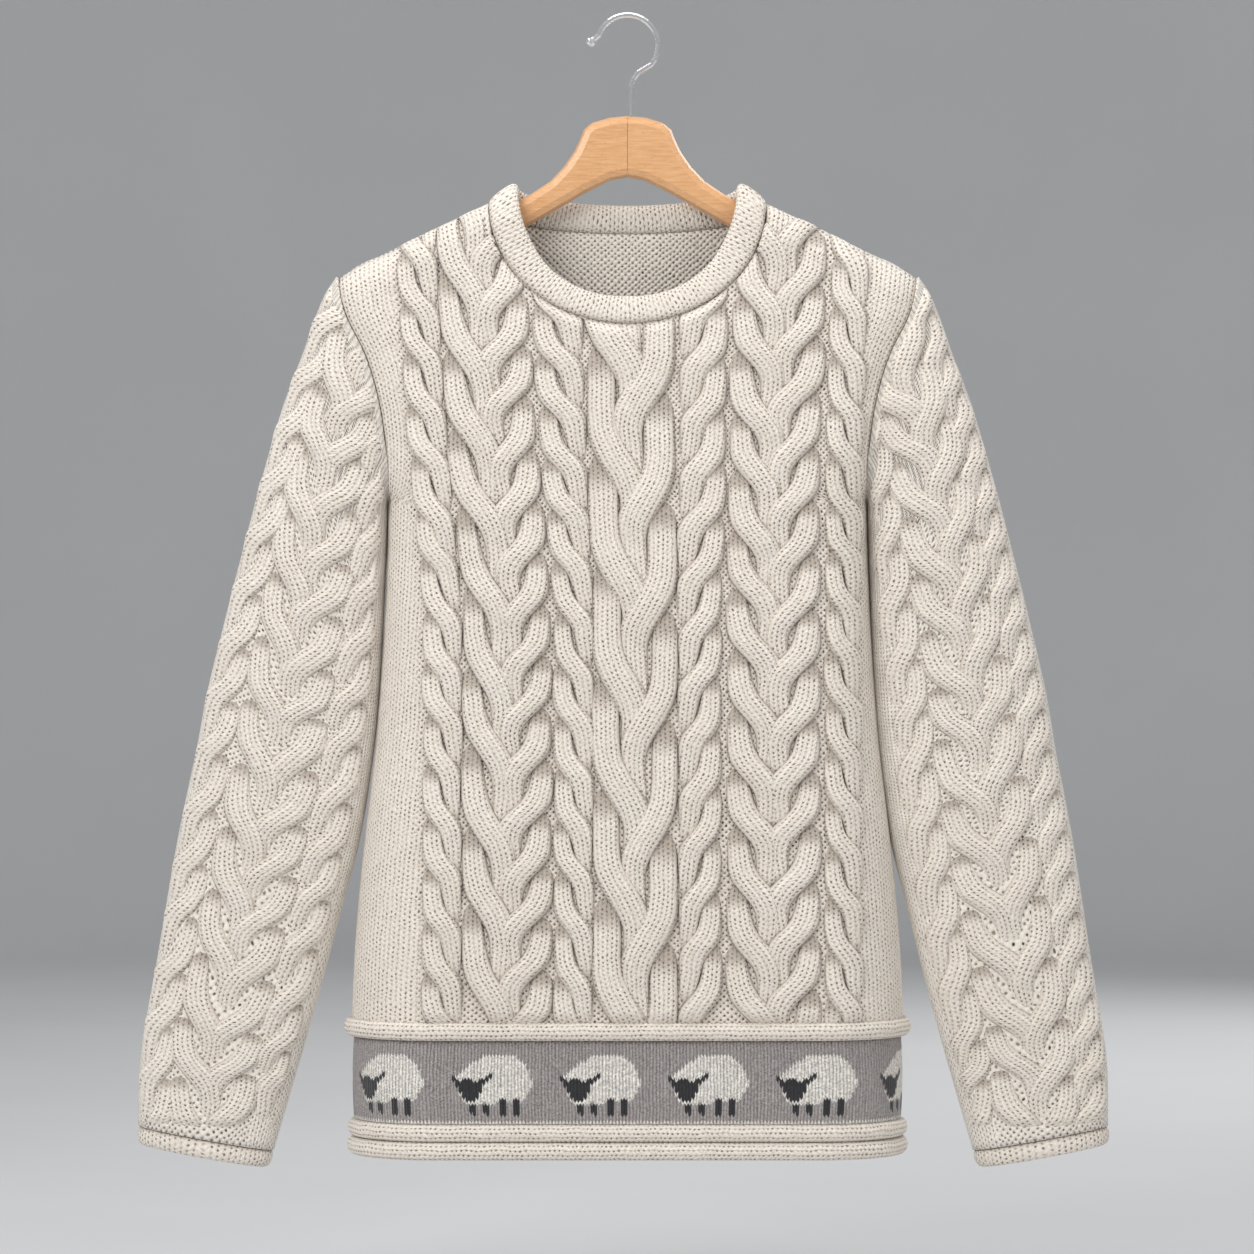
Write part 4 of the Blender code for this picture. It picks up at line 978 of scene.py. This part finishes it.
def sleeve_cables(name, hand, ground, table):
    """The cables of a sleeve, on its front and again on its back."""
    pieces = []
    foot = OUTER_RUN[-1] - 1 * MM
    for side in (FRONT, BACK):
        cables = []
        for cable in table:
            half = cable[4] * MM

            def line(down, cable=cable, half=half):
                height = smooth_curve(OUTER_RUN, OUTER_EDGE[:, 1], down)
                distances = np.array(cable[3::-1]) * MM
                return smooth_curve(np.array(SLEEVE_LEVELS[::-1]), distances, height), half

            cables.append(cable_facts(line, half, cable[5] * MM, cable[6] * MM, *cable[7:]))
        xs, zs, depth = front_view(ground, side)
        slope_x, slope_z = np.gradient(depth, xs, zs)

        def cloth(inwards, down):
            x, z = down_the_sleeve(inwards, np.minimum(down, foot))
            inner = smooth_curve(SLEEVE_RINGS[::-1, 3], SLEEVE_RINGS[::-1, 2], z)
            inner = np.where(z > UNDERARM, body_section(z)[0], inner) + EDGE_MARGIN
            outer = smooth_curve(SLEEVE_RINGS[::-1, 1], SLEEVE_RINGS[::-1, 0], z) - EDGE_MARGIN
            margin = np.minimum(np.minimum(x - inner, outer - x + EDGE_SPARE),
                                np.minimum(foot - down, down))
            x = placed_across(np.clip(x, np.minimum(inner, outer), outer), z, hand)
            y = read_map(xs, zs, depth, x, z)
            normal = unit(np.stack((-read_map(xs, zs, slope_x, x, z), np.ones_like(x),
                                    -read_map(xs, zs, slope_z, x, z)), axis=-1)) * side
            return np.stack((x, y, z), axis=-1), normal, margin

        word = "front" if side == FRONT else "back"
        pieces.append(lay_cables(f"{name}_{word}", cloth, cables, (EDGE_SPARE, foot)))
    return pieces


left_sleeve_knit = knit_sleeve("left_sleeve_knit", LEFT)
right_sleeve_knit = knit_sleeve("right_sleeve_knit", RIGHT)
left_sleeve_cables = sleeve_cables("left_sleeve_cables", LEFT, left_sleeve_knit, LEFT_SLEEVE_CABLES)
right_sleeve_cables = sleeve_cables("right_sleeve_cables", RIGHT, right_sleeve_knit,
                                    RIGHT_SLEEVE_CABLES)


# Neckband, cuffs and hem


def closed_sweep(name, rings, stitches, crevice_shade):
    """A cream tube through closed rings of points, the last of which meets the first."""
    mesh = grid_mesh(name, rings.shape[1] - 1, rings.shape[0] - 1)
    set_layers(mesh, stitches, {"crevice_shade": crevice_shade})
    piece = add_piece(name, mesh, rings, cream_knit, merge=WELD)
    face_outwards(piece)
    return piece


def neckband_edges(degrees):
    """Sewn edge and folded edge of the neckband at turns from the front's middle."""
    turned = np.mod(degrees, 360)
    mirror = np.where(turned > 180, -1.0, 1.0)
    turned = np.where(turned > 180, 360 - turned, turned)
    fold_share = smooth_curve(NECKBAND_FOLD[:, 0], NECKBAND_FOLD[:, 1], turned)
    rise = smooth_curve(NECKBAND_FOLD[:, 0], NECKBAND_FOLD[:, 2], turned)
    angle = np.radians(turned)
    x = NECK_HALF_WIDTH * np.sin(angle)
    drop = np.where(turned < 90, NECK_DROP[FRONT], NECK_DROP[BACK]) * np.abs(np.cos(angle))
    z = NECK_LEVEL - drop
    side = np.where(turned < 90, FRONT, BACK)
    depth = np.abs(body_surface(x, z, 1)[..., 1]) * side
    sewn = np.stack((mirror * x, depth, z), axis=-1)
    lean = NECKBAND_LEAN * np.cos(angle)
    fold = np.stack((mirror * NECK_HALF_WIDTH * fold_share, depth + lean, z + rise), axis=-1)
    return sewn, fold


NECKBAND_FINE = 1441
NECKBAND_CORNERS = 25
NECKBAND_ROWS = 14


def neckband():
    """Knitted band folded double: a soft roll that stands in the neck opening."""
    fine = np.linspace(0, 360, NECKBAND_FINE)
    sewn, fold = neckband_edges(fine)
    middle = (sewn + fold) / 2
    run = np.concatenate(([0], np.cumsum(np.linalg.norm(np.diff(middle, axis=0), axis=1))))
    wales = round(run[-1] * NECKBAND_FULLNESS / CREAM_WALE)
    stations = 3 * wales
    degrees = np.interp(np.linspace(0, run[-1], stations + 1), run, fine)
    sewn, fold = neckband_edges(degrees)
    step = 3
    before, after = neckband_edges(degrees - step), neckband_edges(degrees + step)
    along = unit(after[0] + after[1] - before[0] - before[1])
    rise = unit(fold - sewn)
    out = unit(np.cross(rise, along))
    out *= np.sign(np.sum(out * (sewn * np.array((0.3, 1, 0))), axis=-1, keepdims=True))
    rise = unit(rise - out * np.sum(rise * out, axis=-1, keepdims=True))
    half = np.linalg.norm(fold - sewn, axis=-1)[:, None] / 2
    turn = np.linspace(0, TURN, NECKBAND_CORNERS)[None, :]
    up = 1 - np.sign(np.cos(turn)) * np.abs(np.cos(turn)) ** 0.85
    width = np.sign(np.sin(turn)) * np.abs(np.sin(turn)) ** 0.75
    rings = (sewn[:, None] + rise[:, None] * (half * up)[..., None]
             + out[:, None] * (NECKBAND_HALF_THICKNESS * width)[..., None])
    count = np.linspace(0, wales, stations + 1)[:, None]
    around = np.linspace(0, NECKBAND_ROWS, NECKBAND_CORNERS)[None, :]
    stitches = np.stack(np.broadcast_arrays(count, around), axis=-1)
    # Painted shade along the sewn edge, where the band meets the neck
    crevice_shade = np.broadcast_to(np.clip(1 - up / 0.28, 0, 1) * 0.8, rings.shape[:2])
    return closed_sweep("neckband_knit", rings, stitches, crevice_shade)


def hem_ring(share, proud):
    """Point of the hem's section at a share of the way round, from the left side."""
    width, depth = BAND_HALF_WIDTH + proud, BAND_HALF_DEPTH + proud
    across = CORNER_STRETCH * depth
    flat = width - across
    corner = np.sqrt((across * across + depth * depth) / 2) * math.pi / 2
    turn = np.mod(share, 1.0) * 4
    quarter = np.floor(turn)
    part = turn - quarter
    run = np.where(np.mod(quarter, 2) == 0, 1 - part, part) * (flat + corner)
    angle = np.clip((run - flat) / corner, 0, 1) * math.pi / 2
    x = np.where(run > flat, flat + across * np.sin(angle), run)
    y = np.where(run > flat, depth * np.cos(angle), depth)
    x = x * np.where((quarter == 0) | (quarter == 3), -1, 1)
    y = y * np.where(quarter < 2, -1, 1)
    return x, y


HEM_LENGTH = 0.911
HEM_STATIONS = 360
ROLL_CORNERS = 12
# Rolls: top, height, how proud of the band, how far out their flat side lies
HEM_ROLLS = {
    "hem_roll": (BODY_BOTTOM + 13.0 * MM, 13.0 * MM, 4.8 * MM, 2.5 * MM),
    "border_upper_roll": (BAND_BOTTOM - SEAM, 12.2 * MM, 4.6 * MM, 0.0),
    "border_lower_roll": (BAND_BOTTOM - SEAM - 12.6 * MM, 12.8 * MM, 5.0 * MM, 0.0),
}


def hem_roll(name, top, height, proud, inner):
    """A roll round the hem: its outer half from top to bottom, then back up inside."""
    turns = [math.pi * i / ROLL_CORNERS for i in range(ROLL_CORNERS + 1)]
    profile = [(top - height / 2 + height / 2 * math.cos(turn), inner + proud * math.sin(turn))
               for turn in turns]
    profile += [(top - height, inner - CLOTH), (top, inner - CLOTH), profile[0]]
    share = np.linspace(0, 1, HEM_STATIONS + 1)[:, None]
    heights, out = (np.array(values)[None, :] for values in zip(*profile))
    x, y = hem_ring(share, out)
    rings = np.stack(np.broadcast_arrays(x, y, heights), axis=-1)
    run = np.concatenate(([0], np.cumsum(np.hypot(np.diff(heights[0]), np.diff(out[0])))))
    wales = share * (HEM_LENGTH / CREAM_WALE)
    stitches = np.stack(np.broadcast_arrays(-run[None, :] / CREAM_ROW, wales), axis=-1)
    # Painted shade at the roll's top and bottom edges, where it meets its neighbours, and on its inner
    # side
    crease_shade = np.array([0.9] + [0.0] * (ROLL_CORNERS - 1) + [0.9, 1.0, 1.0, 0.9])
    return closed_sweep(name, rings, stitches, np.broadcast_to(crease_shade[None, :], rings.shape[:2]))


def charted_yarn(wale, row, wales_half):
    """Yarn colour of a stitch: wale counted from the left side, row from the top."""
    if row >= GREY_ROWS - 1:
        return SHEEP_CREAM
    middle = int(round(wales_half / 2 + SHEEP_MIDDLE / GREY_WALE))
    column = (wale % wales_half - middle + len(SHEEP_CHART[0]) // 2) % SHEEP_REPEAT
    down = row - SHEEP_TOP_ROW
    if 0 <= down < len(SHEEP_CHART) and column < len(SHEEP_CHART[0]):
        return {"w": SHEEP_CREAM, "k": SHEEP_BLACK}.get(SHEEP_CHART[down][column], GREY_YARN)
    return GREY_YARN


def sheep_band():
    """The grey band: a stitch is two slanting cells, so that colours meet in teeth."""
    wales_half = int(round(HEM_LENGTH / 2 / GREY_WALE))
    columns = 4 * wales_half
    row_height = (HEM_TOP - BAND_BOTTOM) / GREY_ROWS
    share = np.arange(columns + 1) / columns
    heights = HEM_TOP - row_height * np.arange(GREY_ROWS + 1)
    z, share = np.meshgrid(heights, share)
    teeth = np.where(np.arange(columns + 1) % 2 == 0, 0.5, -0.5)[:, None] * row_height
    fade = np.ones(GREY_ROWS + 1)
    fade[0] = fade[-1] = 0.0
    z = z + teeth * fade[None, :]
    swell = BAND_SWELL * np.sin(np.linspace(0, math.pi, GREY_ROWS + 1))[None, :]
    x, y = hem_ring(share, swell + 0 * share)
    points = np.stack((x, y, z), axis=-1)
    mesh = grid_mesh("sheep_band_knit", GREY_ROWS, columns)
    stitches = np.stack(np.broadcast_arrays(
        (np.arange(columns + 1) / 2)[:, None], -np.arange(GREY_ROWS + 1.0)[None, :]), axis=-1)
    set_layers(mesh, stitches)
    yarns = mesh.color_attributes.new("yarn", "FLOAT_COLOR", "CORNER")
    colours = []
    palette = {name: linear(name) for name in (SHEEP_CREAM, SHEEP_BLACK, GREY_YARN)}
    for face in mesh.polygons:
        row, column = face.index % GREY_ROWS, face.index // GREY_ROWS
        colours.extend([palette[charted_yarn(column // 2, row, wales_half)]] * 4)
    yarns.data.foreach_set("color", np.array(colours, dtype=np.float32).ravel())
    piece = add_piece("sheep_band_knit", mesh, points, (band_knit, cream_reverse_painted_paler),
                      merge=WELD)
    thicken(piece, CLOTH, inside_slot=1)
    return piece


def rolled_cuff(name, hand):
    """A thick roll round the sleeve's end."""
    angle = np.linspace(0, TURN, CUFF_STATIONS + 1)[:, None]
    edge = sleeve_surface(angle, np.ones_like(angle), hand)
    above = sleeve_surface(angle, np.full_like(angle, CUFF_FALL_FROM), hand)
    down = unit(edge - above)
    around = unit(np.roll(edge, -1, axis=0) - np.roll(edge, 1, axis=0))
    around[0] = around[-1] = unit(edge[1] - edge[-2])
    normal = unit(np.cross(around, down))
    centre = edge.mean(axis=0, keepdims=True)
    normal *= np.sign(np.sum(normal * (edge - centre), axis=-1, keepdims=True))
    half = (CUFF_PROUD + CLOTH + CUFF_INWARDS) / 2
    middle = edge + down * (SEAM + CUFF_HEIGHT / 2) + normal * (CUFF_PROUD - half)
    turn = np.linspace(0, TURN, CUFF_CORNERS + 1)[None, :]
    rings = (middle + normal * (half * np.cos(turn))[..., None]
             + down * (CUFF_HEIGHT / 2 * np.sin(turn))[..., None])
    wales, rows = angle / TURN * CUFF_STITCHES[0], turn / TURN * CUFF_STITCHES[1]
    stitches = np.stack(np.broadcast_arrays(wales, rows), axis=-1)
    # Painted shade on the roll's upper side, where it meets the sleeve
    crevice_shade = np.broadcast_to(np.clip(-np.sin(turn) - 0.6, 0, 1) * 2, rings.shape[:2])
    return closed_sweep(name, rings, stitches, crevice_shade)


neckband_knit = neckband()
sheep_band_knit = sheep_band()
rolls = {name: hem_roll(name, *sizes) for name, sizes in HEM_ROLLS.items()}
left_cuff_knit = rolled_cuff("left_cuff_knit", LEFT)
right_cuff_knit = rolled_cuff("right_cuff_knit", RIGHT)

for piece, node in (
    (front_knit, "front_panel"),
    (back_knit, "back_panel"),
    (left_sleeve_knit, "left_sleeve"),
    (right_sleeve_knit, "right_sleeve"),
    (left_cuff_knit, "left_cuff"),
    (right_cuff_knit, "right_cuff"),
    (neckband_knit, "neckband"),
    (sheep_band_knit, "sheep_band"),
    (rolls["border_upper_roll"], "hem_border"),
):
    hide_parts(node)


# Hanger and hook

for node, finish in (("hanger_left", beech_left), ("hanger_right", beech_right), ("hook", chrome)):
    for material_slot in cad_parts[node].material_slots:
        material_slot.material = finish


GLUE_INSET = 1.0 * MM
GLUE_WIDTH = 0.32 * MM


def glue_line():
    """The line where the two halves of the hanger are glued, a little within their faces."""
    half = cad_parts["hanger_left"]
    corners = [half.matrix_world @ vertex.co for vertex in half.data.vertices]
    face = max(corner.x for corner in corners)
    meeting = [corner for corner in corners if corner.x > face - 0.1 * MM]
    low = Vector([min(corner[axis] for corner in meeting) + GLUE_INSET for axis in range(3)])
    high = Vector([max(corner[axis] for corner in meeting) - GLUE_INSET for axis in range(3)])
    middle = (low + high) / 2
    middle.x = face + SEAM / 2
    shape = bmesh.new()
    bmesh.ops.create_cube(shape, size=1.0)
    bmesh.ops.scale(shape, verts=shape.verts, vec=(GLUE_WIDTH, high.y - low.y, high.z - low.z))
    bmesh.ops.translate(shape, verts=shape.verts, vec=middle)
    mesh = bpy.data.meshes.new("glue_line")
    shape.to_mesh(mesh)
    shape.free()
    join_object("glue_line", mesh, (beech_material("beech at the glue line, browned", 0.0),))


glue_line()


# Studio

FLOOR_LEVEL = cad_box[0][2] - 0.12
FLOOR_RADIUS = 3.9
RIM_CURVE = 0.9
RIM_HEIGHT = 2.0
CAMERA_DISTANCE = 3.4
PHOTO_WIDTH = PHOTO_PIXELS * PIXEL
EYE_LEVEL = -(PHOTO_PIXELS / 2 - PHOTO_TOP) * PIXEL


def studio():
    """A round pale floor that curves up at its rim, seen past the object from all sides."""
    shape = bmesh.new()
    rows = [(0.0, 0.0)]
    for i in range(9):
        turn = math.pi / 2 * i / 8
        rows.append((FLOOR_RADIUS + RIM_CURVE * math.sin(turn), RIM_CURVE * (1 - math.cos(turn))))
    rows.append((FLOOR_RADIUS + RIM_CURVE, RIM_HEIGHT))
    ring = [shape.verts.new((out, 0.0, FLOOR_LEVEL + up)) for out, up in rows]
    edges = [shape.edges.new(pair) for pair in zip(ring, ring[1:])]
    bmesh.ops.spin(shape, geom=ring + edges, cent=(0, 0, 0), axis=(0, 0, 1), angle=2 * math.pi,
                   steps=96, use_merge=True)
    bmesh.ops.remove_doubles(shape, verts=shape.verts, dist=0.1 * MM)
    bmesh.ops.recalc_face_normals(shape, faces=shape.faces)
    mesh = bpy.data.meshes.new("studio_floor")
    shape.to_mesh(mesh)
    shape.free()
    mesh.shade_smooth()
    mesh.materials.append(studio_material("matt pale board", "#CDCECF"))
    floor = bpy.data.objects.new("studio_floor", mesh)
    bpy.context.scene.collection.objects.link(floor)


def area_light(name, place, aim, size, power):
    light = bpy.data.lights.new(name, "AREA")
    light.shape = "RECTANGLE"
    light.size, light.size_y = size
    light.energy = power
    lamp = bpy.data.objects.new(name, light)
    lamp.location = place
    lamp.rotation_euler = (Vector(aim) - Vector(place)).to_track_quat("-Z", "Y").to_euler()
    lamp.visible_camera = False
    bpy.context.scene.collection.objects.link(lamp)


studio()
BODY_MIDDLE = (0.0, 0.0, -0.45)
for name, place, aim, size, power in (
    ("key_panel", (-1.6, -2.2, 0.9), (0.0, 0.0, -0.42), (1.5, 1.5), 47),
    ("fill_panel", (1.9, -2.0, 0.1), BODY_MIDDLE, (1.4, 1.8), 15),
    ("top_panel", (0.0, -0.3, 1.4), BODY_MIDDLE, (1.6, 1.0), 20),
    ("back_panel_light", (1.3, 2.5, 0.7), (0.0, 0.0, -0.42), (1.5, 1.5), 26),
):
    area_light(name, place, aim, size, power)

bpy.context.scene.view_settings.view_transform = "Standard"
world = bpy.data.worlds.new("soft room light")
world.use_nodes = True
world.node_tree.nodes["Background"].inputs["Color"].default_value = linear("#F3F4F6")
world.node_tree.nodes["Background"].inputs["Strength"].default_value = 0.42
bpy.context.scene.world = world

camera_data = bpy.data.cameras.new("photo_camera")
camera_data.sensor_width = 36.0
camera_data.lens = camera_data.sensor_width * (CAMERA_DISTANCE - 0.03) / PHOTO_WIDTH
camera = bpy.data.objects.new("photo_camera", camera_data)
camera.location = ((PHOTO_PIXELS / 2 - PHOTO_MIDDLE) * PIXEL, -CAMERA_DISTANCE, EYE_LEVEL)
camera.rotation_euler = (math.radians(90), 0.0, 0.0)
bpy.context.scene.collection.objects.link(camera)
bpy.context.scene.camera = camera
